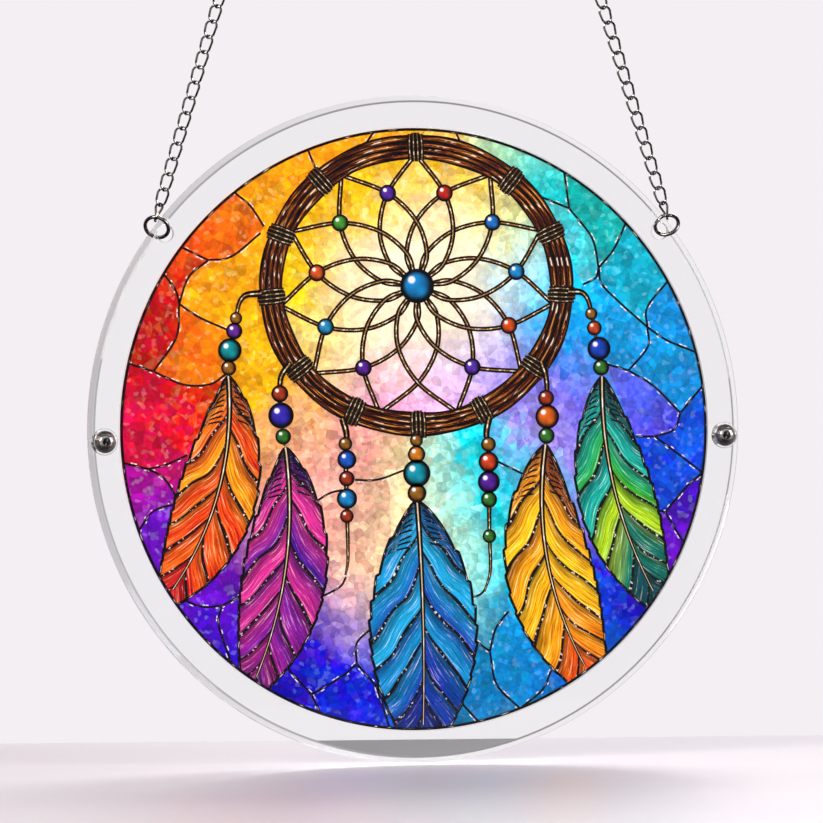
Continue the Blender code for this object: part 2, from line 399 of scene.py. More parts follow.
def smooth_path(points: Sequence[Point], per_span: int = 8) -> list[Point]:
    """A smooth curve through points.

    Args:
        points: the points to pass.
        per_span: how many steps from each point to the next.

    Returns:
        The curve's points.
    """
    knots = [Vector(p) for p in points]
    knots = [2 * knots[0] - knots[1], *knots, 2 * knots[-1] - knots[-2]]
    path = []
    for a, b, c, d in zip(knots, knots[1:], knots[2:], knots[3:]):
        for step in range(per_span):
            t = step / per_span
            path.append(tuple(0.5 * (2 * b + (c - a) * t + (2 * a - 5 * b + 4 * c - d) * t * t
                                     + (3 * b - a - 3 * c + d) * t ** 3)))
    path.append(tuple(knots[-2]))
    return path


def box_centre(node: str) -> Vector:
    """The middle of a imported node's box."""
    low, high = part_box(node)
    return (low + high) / 2


@dataclass(frozen=True)
class Layout:
    """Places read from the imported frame, in metres: the disc's centre, radii, and faces along Y."""

    centre: Vector
    disc_radius: float
    print_radius: float
    sheet_front: float
    sheet_joint: float
    back_sheet_front: float
    sheet_back: float
    print_front: float
    print_back: float

    @classmethod
    def read(cls) -> "Layout":
        """Reads the boxes of the sheets and the printed disc.

        Returns:
            The places.
        """
        front_low, front_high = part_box("front_sheet")
        back_low, back_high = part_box("back_sheet")
        print_low, print_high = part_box("printed_disc")
        middle = (print_low + print_high) / 2
        return cls(Vector((middle.x, 0, middle.z)), (front_high.x - front_low.x) / 2,
                   (print_high.x - print_low.x) / 2, front_low.y, front_high.y, back_low.y, back_high.y,
                   print_low.y, print_high.y)


LAYOUT = Layout.read()


@dataclass(frozen=True)
class ClearAcrylic:
    """Clear cast acrylic, laser-cut and polished: a glassy sheet whose bevels catch thin bright lines."""

    name: str = "clear cast acrylic, polished"
    tint: str = "#feffff"
    gloss: float = 0.2
    haze_mm: float = 6.0

    def material(self) -> Material:
        """Builds the material. Lamps shine through it, so that what lies behind it is lit.

        Returns:
            The material.
        """
        material, tree, shader = new_finish(self.name, self.gloss)
        add = partial(add_node, tree)
        coords = add("TexCoord")
        wear = add("TexNoise", {
            "Vector": coords.outputs["Object"], "Scale": 1 / (self.haze_mm * MM), "Detail": 6.0})
        haze = add("MapRange", (wear, 0.35, 0.75, 0.008, 0.03))
        plug(tree, shader, {
            "Base Color": linear(self.tint), "Roughness": haze, "Transmission Weight": 1.0, "IOR": 1.49})
        ray = add("LightPath")
        through = add("BsdfTransparent", {"Color": linear(self.tint)})
        mixed = add("MixShader", (ray.outputs["Is Shadow Ray"], shader, through))
        plug(tree, tree.nodes["Material Output"], {"Surface": mixed})
        return material


@dataclass(frozen=True)
class NickelPlate:
    """Nickel-plated steel, barrel-polished: grey mirror with fine scuffs that soften its highlights."""

    name: str = "nickel-plated steel, polished"
    bright: str = "#aaa7a3"
    dull: str = "#74706c"
    scuff_mm: float = 0.5

    def material(self) -> Material:
        """Builds the material.

        Returns:
            The material.
        """
        material, tree, shader = new_finish(self.name)
        add = partial(add_node, tree)
        coords = add("TexCoord")
        scuffs = add("TexNoise", {
            "Vector": coords.outputs["Object"], "Scale": 1 / (self.scuff_mm * MM), "Detail": 4.0,
            "Roughness": 0.6})
        colour = add("ValToRGB", (scuffs,), ramp=((0.35, self.dull), (0.62, self.bright)))
        rough = add("MapRange", (scuffs, 0.3, 0.7, 0.18, 0.08))
        bump = add("Bump", {"Height": scuffs, "Strength": 0.12, "Distance": 0.02 * MM})
        plug(tree, shader, {"Base Color": colour, "Roughness": rough, "Normal": bump, "Metallic": 1.0})
        return material


@dataclass(frozen=True)
class CrackleGround:
    """Ultraviolet-cured ink on acrylic: a rainbow of small crackled dabs, paler inside the hoop.

    Attributes:
        patch_mm: size of a dab.
        fleck_mm: size of the fine flecks in it.
        stray_mm: how far off a dab takes its colour.
        drift_mm: how far the wheels sway, over long distances.
        fleck_light: what a pale fleck adds to its colour.
        tint_share: how much of a pane's colour is its own tint.
        hoop_centre: centre of the pale field inside the hoop.
        hoop_semi_axes: half the field's width and height.
        light_centre: centre of the lighter zone round the hoop.
        light_reach: where that zone starts and ends giving way to the deep colours.
        light_press: how much lower than wide the zone is.
        cream: the field's middle.
        edge_wheel: the deep colours, by degrees from +X.
        light_wheel: the lighter colours.
        hoop_wheel: the field's colours.
    """

    name: str = "printed crackle ground"
    patch_mm: float = 2.7
    fleck_mm: float = 1.15
    stray_mm: float = 5.0
    drift_mm: float = 18.0
    fleck_light: str = "#4c5a50"
    tint_share: float = 0.7
    hoop_centre: Point = (0.7, 42.9)
    hoop_semi_axes: Point = (45.4, 42.0)
    light_centre: Point = (1.0, 34.0)
    light_reach: Point = (54.0, 84.0)
    light_press: float = 0.72
    cream: str = "#ffefd2"
    edge_wheel: Ramp = (
        (-180, "#d01040"), (-174, "#d8186c"), (-169, "#c81c80"), (-166, "#8a1ca8"), (-150, "#6a1cb4"),
        (-136, "#5a1ab8"), (-122, "#3420c4"), (-107, "#0c2ccc"), (-94, "#0a48c4"), (-82, "#0474b0"),
        (-70, "#0484b8"), (-60, "#0a78d8"), (-46, "#1048d0"), (-36, "#2c30c4"), (-27, "#6a1cb8"),
        (-19, "#5c20b8"), (-15, "#0c3cd0"), (0, "#0a58d8"), (8, "#0c88dc"), (24, "#0a9cd0"),
        (40, "#08a8b8"), (56, "#14b4a8"), (70, "#a0d0a0"), (82, "#f0b878"), (100, "#f0a022"),
        (122, "#f0780a"), (138, "#e64006"), (152, "#cc2404"), (166, "#bc1006"), (169, "#b80c28"),
        (180, "#d01040"))
    light_wheel: Ramp = (
        (-180, "#f8b01a"), (-160, "#f8b840"), (-142, "#f8bc88"), (-124, "#f6b4ac"), (-108, "#f4c0ac"),
        (-94, "#f8e0b4"), (-82, "#bcecdc"), (-68, "#4cd0dc"), (-56, "#70c8e8"), (-44, "#a898e8"),
        (-26, "#8a84e4"), (-6, "#4aa8ea"), (20, "#2cbcdc"), (45, "#50c8c8"), (64, "#b0dcb8"),
        (78, "#f2cc8c"), (95, "#f0aa3c"), (125, "#f4940c"), (150, "#f6a40c"), (180, "#f6a81a"))
    hoop_wheel: Ramp = (
        (-180, "#f9cc3a"), (-155, "#f8d884"), (-130, "#f8cca8"), (-105, "#f6b0d0"), (-85, "#eeb4e4"),
        (-62, "#c8a8ec"), (-38, "#9c9cee"), (-14, "#66b8ee"), (8, "#80cce8"), (30, "#d4dca8"),
        (60, "#f8d880"), (90, "#f8c850"), (125, "#f8bc20"), (155, "#f8be14"), (180, "#f9c82a"))

    @staticmethod
    def wheel_ramp(wheel: Ramp) -> Ramp:
        """Turns degrees from -180 to 180 into places on a ramp."""
        return [((degrees + 180) / 360, code) for degrees, code in wheel]

    def material(self, tinted: bool = False) -> Material:
        """Builds the material: three colour wheels, then dabs and flecks over them.

        Args:
            tinted: whether the shapes' own tint goes over the wheels.

        Returns:
            The material.
        """
        material, tree, shader = new_finish(f"{self.name}, tinted" if tinted else self.name, INK_GLOSS)
        add = partial(add_node, tree)
        coords = add("TexCoord")
        place = add("Mapping", {
            "Vector": coords.outputs["Object"], "Scale": (1 / MM, 0, 1 / MM),
            "Location": (-LAYOUT.centre.x / MM, 0, -LAYOUT.centre.z / MM)})
        sides = add("SeparateXYZ", (place,))
        flat = add("CombineXYZ", (sides.outputs["X"], sides.outputs["Z"]))
        drift = add("TexNoise", {"Vector": flat, "Scale": 0.05, "Detail": 2.0})
        dab = add("TexVoronoi", {"Vector": flat, "Scale": 1 / self.patch_mm}, voronoi_dimensions="2D")
        spot = flat
        for source, reach in ((drift, self.drift_mm), (dab, self.stray_mm)):
            shift = add("VectorMath", (source.outputs["Color"], (0.5, 0.5, 0.5)), operation="SUBTRACT")
            spot = add("VectorMath", (shift, (reach, reach, 0.0), spot), operation="MULTIPLY_ADD")

        wheels = []
        for wheel, centre in ((self.edge_wheel, (0.0, 0.0)), (self.light_wheel, self.light_centre),
                              (self.hoop_wheel, self.hoop_centre)):
            offset = add("VectorMath", (spot, (*centre, 0)), operation="SUBTRACT")
            parts = add("SeparateXYZ", (offset,))
            turn = add("Math", (parts.outputs["Y"], parts.outputs["X"]), operation="ARCTAN2")
            share = add("MapRange", (turn, -math.pi, math.pi))
            colour = add("ValToRGB", (share,), ramp=self.wheel_ramp(wheel))
            wheels.append((colour, offset))
        (edge_colour, _), (light_colour, from_light), (hoop_colour, from_hoop) = wheels
        pressed = add("VectorMath", (from_light, (1, self.light_press, 1)), operation="MULTIPLY")
        light_distance = add("VectorMath", (pressed,), operation="LENGTH")
        outer = add("MapRange", (
            light_distance, self.light_reach[0], self.light_reach[1]), interpolation_type="SMOOTHSTEP")
        outside = add("Mix", (outer, light_colour, edge_colour), data_type="RGBA")
        within = add("VectorMath", (from_hoop, (*self.hoop_semi_axes, 1)), operation="DIVIDE")
        hoop_share = add("VectorMath", (within,), operation="LENGTH")
        paleness = add("MapRange", (hoop_share, 0.18, 0.98), interpolation_type="SMOOTHSTEP")
        field = add("Mix", (paleness, linear(self.cream), hoop_colour), data_type="RGBA")
        true_offset = add("VectorMath", (flat, (*self.hoop_centre, 0)), operation="SUBTRACT")
        true_within = add("VectorMath", (true_offset, (*self.hoop_semi_axes, 1)), operation="DIVIDE")
        true_share = add("VectorMath", (true_within,), operation="LENGTH")
        is_outside = add("Math", (true_share, 1.0), operation="GREATER_THAN")
        sweep = add("Mix", (is_outside, field, outside), data_type="RGBA")

        colour = sweep
        if tinted:
            tint = add("Attribute", attribute_name="tint")
            colour = add("Mix", (self.tint_share, colour, tint), data_type="RGBA")
        for size, hue_reach, saturation_reach, value_reach, pale_reach in (
                (self.patch_mm * 3.1, 0.008, 0.04, 0.36, 0.0), (self.patch_mm, 0.014, 0.1, 0.5, 0.5),
                (self.fleck_mm, 0.008, 0.06, 0.35, 0.9)):
            patch = add("TexVoronoi", {"Vector": flat, "Scale": 1 / size}, voronoi_dimensions="2D")
            chance = add("SeparateColor", (patch.outputs["Color"],))
            spans = ((0.5, hue_reach), (1.05, saturation_reach), (1.0, value_reach))
            ranges = [add("MapRange", (
                chance.outputs[k], 0.0, 1.0, middle - spread / 2, middle + spread / 2))
                for k, (middle, spread) in enumerate(spans)]
            shifted = add("HueSaturation", {
                "Hue": ranges[0], "Saturation": ranges[1], "Value": ranges[2], "Color": colour})
            pale = add("MapRange", (chance.outputs[0], 0.84, 0.95, 0.0, pale_reach))
            paler = add("Mix", (1.0, shifted, linear(self.fleck_light)), data_type="RGBA", blend_type="ADD")
            colour = add("Mix", (pale, shifted, paler), data_type="RGBA")
        calm = add("MapRange", (paleness, 0.0, 1.0, 0.65, 0.0))
        colour = add("Mix", (calm, colour, sweep), data_type="RGBA")
        joint = add("TexVoronoi", {
            "Vector": flat, "Scale": 1 / self.patch_mm}, feature="DISTANCE_TO_EDGE", voronoi_dimensions="2D")
        shade = add("MapRange", (joint, 0.0, 0.08, 0.3, 0.0))
        jointed = add("Mix", (shade, colour, colour), data_type="RGBA", blend_type="MULTIPLY")
        ink = add("MapRange", (chance.outputs[1], 0.0, 1.0, 0.32, 0.46))
        bump = add("Bump", {"Height": joint, "Strength": 0.1, "Distance": 0.02 * MM})
        plug(tree, shader, {"Base Color": jointed, "Roughness": ink, "Normal": bump})
        return material


@dataclass(frozen=True)
class LineInk:
    """Printed line work, shaded across its width like leading, cord or twig, with broken light dashes.

    Attributes:
        name: what the line stands for.
        across: shades from the middle of the line, at 0, to its edge, at 1.
        dash: the colour of the light dashes.
        dash_mm: how long a dash is.
        dash_from: the share of noise above which a dash shows.
        dash_reach: how far a dash reaches from the middle of the line.
        grain: darkest colours of the streaks along the line, or none.
    """

    name: str
    across: Ramp
    dash: str
    dash_mm: float
    dash_from: float
    dash_reach: float = 0.25
    grain: Ramp = ()

    @cache
    def material(self) -> Material:
        """Builds the material from the line's own map: millimetres along, and -1 to 1 across.

        Returns:
            The material.
        """
        material, tree, shader = new_finish(self.name, INK_GLOSS)
        add = partial(add_node, tree)
        line = add("UVMap", uv_map="line")
        parts = add("SeparateXYZ", (line,))
        from_middle = add("Math", (parts.outputs["Y"],), operation="ABSOLUTE")
        colour = add("ValToRGB", (from_middle,), ramp=self.across)
        if self.grain:
            stretched = add("Mapping", {"Vector": line, "Scale": (0.07, 1.9, 1.0)})
            fibre = add("TexNoise", {
                "Vector": stretched, "Scale": 1.5, "Detail": 5.0, "Roughness": 0.68, "Distortion": 0.5})
            streaks = add("ValToRGB", (fibre,), ramp=self.grain)
            colour = add("Mix", (1.0, streaks, colour), data_type="RGBA", blend_type="MULTIPLY")
        spread = add("Mapping", {"Vector": line, "Scale": (1 / self.dash_mm, 0.9, 1.0)})
        breaks = add("TexNoise", {"Vector": spread, "Scale": 1.0, "Detail": 2.0})
        shows = add("MapRange", (breaks, self.dash_from, self.dash_from + 0.05))
        inside = add("MapRange", (from_middle, self.dash_reach, self.dash_reach + 0.12, 1.0, 0.0))
        dash = add("Math", (shows, inside), operation="MULTIPLY")
        mixed = add("Mix", (dash, colour, linear(self.dash)), data_type="RGBA")
        rough = add("MapRange", (breaks, 0.0, 1.0, 0.32, 0.48))
        plug(tree, shader, {"Base Color": mixed, "Roughness": rough})
        return material


@dataclass(frozen=True)
class BeadInk:
    """Printed glass beads: a tinted ball with a dark rim, a glow at its foot and a white highlight."""

    name: str = "printed glass bead"
    highlight: Point = (-0.32, 0.36)
    glow: Point = (0.30, -0.36)
    rim_shade: str = "#0c080c"

    @cache
    def material(self) -> Material:
        """Builds the material from the bead's map, -1 to 1 both ways, and its own tint.

        Returns:
            The material.
        """
        material, tree, shader = new_finish(self.name, INK_GLOSS)
        add = partial(add_node, tree)
        ball = add("UVMap", uv_map="line")
        tint = add("Attribute", attribute_name="tint")
        out = add("VectorMath", (ball,), operation="LENGTH")
        lit = add("VectorMath", (ball, (*self.highlight, 0)), operation="DISTANCE")
        low = add("VectorMath", (ball, (*self.glow, 0)), operation="DISTANCE")
        body = add("MapRange", (lit, 0.0, 1.15, 1.3, 0.16))
        shaded = add("HueSaturation", {"Value": body, "Color": tint})
        glow = add("MapRange", (low, 0.05, 0.45, 0.5, 0.0))
        glowing = add("Mix", (glow, shaded, tint), data_type="RGBA", blend_type="ADD")
        rim = add("MapRange", (out, 0.6, 0.84))
        rimmed = add("Mix", (rim, glowing, linear(self.rim_shade)), data_type="RGBA")
        spot = add("MapRange", (lit, 0.13, 0.26, 0.97, 0.0))
        spotted = add("Mix", (spot, rimmed, linear("#ffffff")), data_type="RGBA")
        plug(tree, shader, {"Base Color": spotted, "Roughness": 0.35})
        return material


@dataclass(frozen=True)
class FeatherInk:
    """A printed feather: coloured barb sections with fine streaks, parted by black veins.

    Attributes:
        name: the feather's name.
        length: the shaft's length in millimetres.
        hues: hex colours from the top to the tip.
        section_mm: how far apart the veins leave the shaft.
        leans: how fast a barb falls towards the tip, left and right of the shaft.
    """

    name: str
    length: float
    hues: tuple[str, ...]
    section_mm: float
    leans: Point

    def material(self) -> Material:
        """Builds the material from the feather's map: millimetres down the shaft and out from it.

        Returns:
            The material.
        """
        material, tree, shader = new_finish(self.name, INK_GLOSS)
        add = partial(add_node, tree)
        barb_map = add("UVMap", uv_map="line")
        parts = add("SeparateXYZ", (barb_map,))
        out = add("Math", (parts.outputs["Y"],), operation="ABSOLUTE")
        side = add("Math", (parts.outputs["Y"], 0.0), operation="GREATER_THAN")
        sway = add("TexNoise", {"Vector": barb_map, "Scale": 0.08, "Detail": 0.0})
        swayed = add("Math", (sway, 6.0, parts.outputs["X"]), operation="MULTIPLY_ADD")
        staggered = add("Math", (side, 0.45 * self.section_mm, swayed), operation="MULTIPLY_ADD")
        flare = add("Math", (out, 0.72), operation="POWER")
        lean = add("MapRange", (side, 0.0, 1.0, self.leans[0], self.leans[1]))
        fall = add("Math", (flare, lean), operation="MULTIPLY")
        along = add("Math", (staggered, fall), operation="SUBTRACT")
        count = add("Math", (along, self.section_mm), operation="DIVIDE")
        number = add("Math", (count,), operation="FLOOR")
        within = add("Math", (count,), operation="FRACT")
        key = add("CombineXYZ", (number, side))
        chance = add("TexWhiteNoise", {"Vector": key}, noise_dimensions="2D")
        stray = add("MapRange", (chance, 0.0, 1.0, -0.14, 0.14))
        share = add("Math", (along, 1 / self.length, stray), operation="MULTIPLY_ADD")
        stops = [(k / (len(self.hues) - 1), code) for k, code in enumerate(self.hues)]
        hue = add("ValToRGB", (share,), ramp=stops)

        barb = add("CombineXYZ", (along, out, side))
        stretched = add("Mapping", {"Vector": barb, "Scale": (1.3, 0.16, 9.0)})
        streaks = add("TexNoise", {"Vector": stretched, "Scale": 1.0, "Detail": 4.0, "Roughness": 0.7})
        value = add("MapRange", (streaks, 0.3, 0.7, 0.14, 1.75))
        turn = add("MapRange", (streaks, 0.3, 0.7, 0.475, 0.52))
        under = add("MapRange", (within, 0.0, 0.6, 0.42, 1.12), interpolation_type="SMOOTHSTEP")
        depth = add("Math", (value, under), operation="MULTIPLY")
        streaked = add("HueSaturation", {"Hue": turn, "Value": depth, "Color": hue})
        gleam = add("MapRange", (streaks, 0.58, 0.7, 0.0, 0.8))
        gleaming = add("Mix", (gleam, streaked, linear("#fff2e2")), data_type="RGBA")

        near = add("Math", (within, 0.5), operation="SUBTRACT")
        apart = add("Math", (near,), operation="ABSOLUTE")
        line = add("MapRange", (apart, 0.5 - 0.85 / self.section_mm, 0.5 - 0.6 / self.section_mm))
        breaks = add("TexNoise", {"Vector": barb_map, "Scale": 0.9, "Detail": 2.0})
        vein_colour = add("ValToRGB", (breaks,), ramp=(
            (0.0, "#08060a"), (0.6, "#120c10"), (0.66, "#e9d9cf"), (1.0, "#ffffff")))
        veined = add("Mix", (line, gleaming, vein_colour), data_type="RGBA")
        rough = add("MapRange", (streaks, 0.0, 1.0, 0.34, 0.46))
        plug(tree, shader, {"Base Color": veined, "Roughness": rough})
        return material


OUTLINE_INK = LineInk("printed outline", ((0.0, "#0a0607"), (1.0, "#0a0607")), "#f2e6da", 3.4, 0.6)
LEAD_INK = LineInk("printed lead line", ((0.0, "#0a0607"), (1.0, "#0a0607")), "#d8c8bc", 3.0, 0.62)
GLEAM_INK = LineInk("printed pale stroke", ((0.0, "#f6ecea"), (1.0, "#f0e2e2")), "#ffffff", 2.0, 0.6)
CORD_INK = LineInk(
    "printed bronze cord",
    ((0.0, "#c08a48"), (0.12, "#8a5822"), (0.22, "#2e190c"), (0.31, "#0c0604"), (0.5, "#060303")),
    "#fff0cc", 1.8, 0.52, 0.12)
WRAP_INK = LineInk(
    "printed bronze wrapping",
    ((0.0, "#8a5c30"), (0.16, "#4a2a14"), (0.32, "#160b07"), (0.45, "#070403")), "#f6dfb4", 1.6, 0.52, 0.12)
QUILL_INK = LineInk(
    "printed quill", ((0.0, "#f4e2b8"), (0.14, "#d0ac7c"), (0.25, "#3c2414"), (0.34, "#080404")),
    "#fffaf0", 5.0, 0.55, 0.14)
TWIG_INK = LineInk(
    "printed willow twig",
    ((0.0, "#ffffff"), (0.3, "#f0e2da"), (0.5, "#7a6a64"), (0.66, "#0d0706"), (1.0, "#050303")),
    "#fbe6d0", 4.5, 0.56, 0.09,
    grain=((0.36, "#080203"), (0.45, "#2c0a07"), (0.52, "#561a0c"), (0.56, "#9a4812"), (0.61, "#e09428"),
           (0.68, "#fcd27c")))


class Films:
    """Flat printed shapes of one finish, in millimetres from the disc's centre.

    Each point has a lift, which is how far its film lies over the face of the printed disc, so that
    shapes drawn over one another don't share a plane. The lifts stay inside the gap to the sheets.
    """

    def __init__(self, name: str) -> None:
        """Starts with no shapes.

        Args:
            name: the piece's name, to which the face is added.
        """
        self.name = name
        self.points: list[tuple[float, float, float]] = []
        self.map: list[Point] = []
        self.tints: list[Colour] = []
        self.faces: list[tuple[int, ...]] = []

    def add_point(self, point: Point, lift: float, place_on_map: Point, tint: Colour = WHITE) -> int:
        """Adds a point and returns its number.

        Args:
            point: its place.
            lift: its lift.
            place_on_map: its place on the map.
            tint: its colour.

        Returns:
            Its number.
        """
        self.points.append((point[0], point[1], lift))
        self.map.append(place_on_map)
        self.tints.append(tint)
        return len(self.points) - 1

    def ribbon(self, path: Sequence[Point], half_width: Callable[[float], float] | float, lift: float,
               closed: bool = False) -> None:
        """Adds a flat line along a path.

        Args:
            path: its middle line.
            half_width: half its width, or that as a function of the share of the path.
            lift: its lift.
            closed: whether the path returns to its first point.
        """
        knots = [Vector(p) for p in path]
        if closed:
            knots.append(knots[0])
        run, pairs = 0.0, []
        for k, here in enumerate(knots):
            before = knots[k - 1] if k else (knots[-2] if closed else here)
            after = knots[k + 1] if k + 1 < len(knots) else (knots[1] if closed else here)
            along = (after - before).normalized()
            run += (here - knots[k - 1]).length if k else 0.0
            share = k / (len(knots) - 1)
            reach = half_width(share) if callable(half_width) else half_width
            out = Vector((-along.y, along.x)) * reach
            pairs.append([self.add_point(tuple(here + sign * out), lift, (run, sign)) for sign in (-1, 1)])
        for (a, b), (c, d) in zip(pairs, pairs[1:]):
            self.faces.append((a, b, d, c))

    def bead(self, centre: Point, radius: float, tint: Colour, lift: float, sides: int = 32) -> None:
        """Adds a round bead as a flat disc whose map runs from -1 to 1 both ways.

        Args:
            centre: its centre.
            radius: its radius.
            tint: its colour.
            lift: its lift.
            sides: sides of its outline.
        """
        self.faces.append(tuple(
            self.add_point((centre[0] + radius * c, centre[1] + radius * s), lift, (c, s), tint)
            for c, s in spokes(sides)))

    def mesh(self, face: PrintFace) -> Mesh:
        """Turns the shapes into a mesh on one face of the printed disc.

        Args:
            face: the face, whose outward side the shapes show.

        Returns:
            The mesh, with a map named line and the shapes' tints.
        """
        base = LAYOUT.print_front if face is PrintFace.FRONT else LAYOUT.print_back
        spots = [LAYOUT.centre + Vector((x * MM, base - LAYOUT.centre.y + face.value * lift * MM, z * MM))
                 for x, z, lift in self.points]
        faces = []
        for corners in self.faces:
            ring = [self.points[c] for c in corners]
            area = sum(a[0] * b[1] - b[0] * a[1] for a, b in zip(ring, ring[1:] + ring[:1]))
            forward = (area > 0) == (face is PrintFace.FRONT)
            faces.append(corners if forward else corners[::-1])
        mesh = bpy.data.meshes.new(self.name)
        mesh.from_pydata(spots, [], faces)
        layer = mesh.uv_layers.new(name="line")
        tint = mesh.color_attributes.new("tint", "FLOAT_COLOR", "POINT")
        for loop in mesh.loops:
            layer.data[loop.index].uv = self.map[loop.vertex_index]
        for k, colour in enumerate(self.tints):
            tint.data[k].color = colour
        return mesh

    def build(self, material: Material) -> None:
        """Adds the shapes to both faces of the printed disc."""
        for face in PrintFace:
            add_piece(f"{self.name}_{face.name.lower()}", self.mesh(face), material, Slot.PRINT)


class Lift:
    """How far each printed shape lies over the disc's face, in millimetres, and steps between neighbours."""

    PANE = 0.006
    GLEAM = 0.012
    LEAD = 0.02
    FEATHER = 0.03
    WEB = 0.04
    WEB_OVER = 0.055
    TWIG = 0.07
    WRAP = 0.10
    STRING = WRAP + 0.012
    BEAD = 0.13
    TWIG_STEP = 0.007
    WRAP_STEP = 0.004
    FEATHER_STEP = 0.022
    OUTLINE_STEP = 0.007
    TUFT_STEP = 0.009
    QUILL_STEP = 0.013


@dataclass
class PrintedDisc:
    """The acrylic disc that carries the picture.

    Attributes:
        sides: sides of its round edge.
        outline_width: the black line round the picture, in millimetres.
        outline_inset: how far it stays inside the disc's edge, in millimetres.
    """

    sides: int = 288
    outline_width: float = 0.8
    outline_inset: float = 0.05

    def build(self) -> None:
        """Builds the disc and the black line round its picture."""
        edge = [(LAYOUT.print_radius, y) for y in (LAYOUT.print_front, LAYOUT.print_back)]
        plate = turned("printed_plate", edge, self.sides, LAYOUT.centre, closed=False)
        add_piece("printed_plate", plate, CrackleGround().material(), Slot.PRINT, ["printed_disc"])
        radius = LAYOUT.print_radius / MM - self.outline_width / 2 - self.outline_inset
        ring = Films("picture_edge")
        path = [(radius * c, radius * s) for c, s in spokes(self.sides)]
        ring.ribbon(path, self.outline_width / 2, Lift.BEAD, closed=True)
        ring.build(OUTLINE_INK.material())


@dataclass
class Leads:
    """The thin black lines that part the ground into panes, with pale strokes beside them.

    Attributes:
        runs: points of each line, from joint to joint.
        panes: hex colour of each pane and the numbers of the lines round it, from 1, negative backwards.
        width: a line's width.
        gap: how far a stroke lies beside its line.
        rim: radius of the picture.
        near_rim: radius past which a line counts as ending at the picture's edge.
        joined: how near two lines' ends are where they meet.
        stroke_half_width: half a stroke's width.
        stroke_share: how much of its step of the line a stroke takes up.
    """

    runs: tuple[tuple[Point, ...], ...]
    panes: tuple[tuple[str, tuple[int, ...]], ...]
    width: float = 0.66
    gap: float = 0.56
    rim: float = 89.9
    near_rim: float = 86.5
    joined: float = 0.5
    stroke_half_width: float = 0.14
    stroke_share: float = 0.75

    def snapped(self, point: Point) -> Point:
        """A line's end, moved out to the picture's edge where it ends there."""
        reach = math.hypot(*point)
        return (point[0] * self.rim / reach, point[1] * self.rim / reach) if reach > self.near_rim else point

    def edge_arc(self, start: Point, end: Point, steps: int = 12) -> list[Point]:
        """Points along the picture's edge, between two lines that end there.

        Args:
            start: where one line ends.
            end: where the other one does.
            steps: how many steps it has.

        Returns:
            The points, with both ends.
        """
        first, last = (math.atan2(z, x) for x, z in (start, end))
        sweep = (last - first + math.pi) % (2 * math.pi) - math.pi
        turns = [first + sweep * k / steps for k in range(steps + 1)]
        return [(self.rim * math.cos(a), self.rim * math.sin(a)) for a in turns]

    def outline(self, paths: Sequence[Sequence[Point]], numbers: Sequence[int]) -> list[Point]:
        """A pane's closed outline, from its lines and the picture's edge.

        Args:
            paths: points of all lines.
            numbers: the lines round the pane, as in panes.

        Returns:
            The outline's points.
        """
        sides = [list(paths[abs(n) - 1])[::1 if n > 0 else -1] for n in numbers]
        loop = []
        for side, follower in zip(sides, sides[1:] + sides[:1]):
            loop += side[:-1]
            end, start = side[-1], follower[0]
            if math.dist(end, start) > self.joined:
                loop.append(end)
                if math.hypot(*end) > self.near_rim and math.hypot(*start) > self.near_rim:
                    loop += self.edge_arc(end, start)
        return loop

    def build(self) -> None:
        """Builds the panes, the lines and their strokes."""
        paths = [smooth_path((self.snapped(run[0]), *run[1:-1], self.snapped(run[-1])), 7)
                 for run in self.runs]
        panes, lines, gleams = Films("ground_panes"), Films("ground_leads"), Films("ground_gleams")
        for hue, numbers in self.panes:
            loop = self.outline(paths, numbers)
            panes.faces.append(tuple(panes.add_point(p, Lift.PANE, p, linear(hue)) for p in loop))
        for number, path in enumerate(paths):
            lines.ribbon(path, self.width / 2, Lift.LEAD)
            for k, (a, b) in enumerate(zip(path, path[1:])):
                if (5 * k + 3 * number) % 7 < 3:
                    here, there = Vector(a), Vector(b)
                    out = Vector((-(there - here).y, (there - here).x)).normalized() * self.gap
                    out *= 1 if (k // 4 + number) % 2 else -1
                    stroke = [tuple(here + out), tuple(here.lerp(there, self.stroke_share) + out)]
                    gleams.ribbon(stroke, self.stroke_half_width, Lift.GLEAM)
        panes.build(CrackleGround().material(tinted=True))
        lines.build(LEAD_INK.material())
        gleams.build(GLEAM_INK.material())


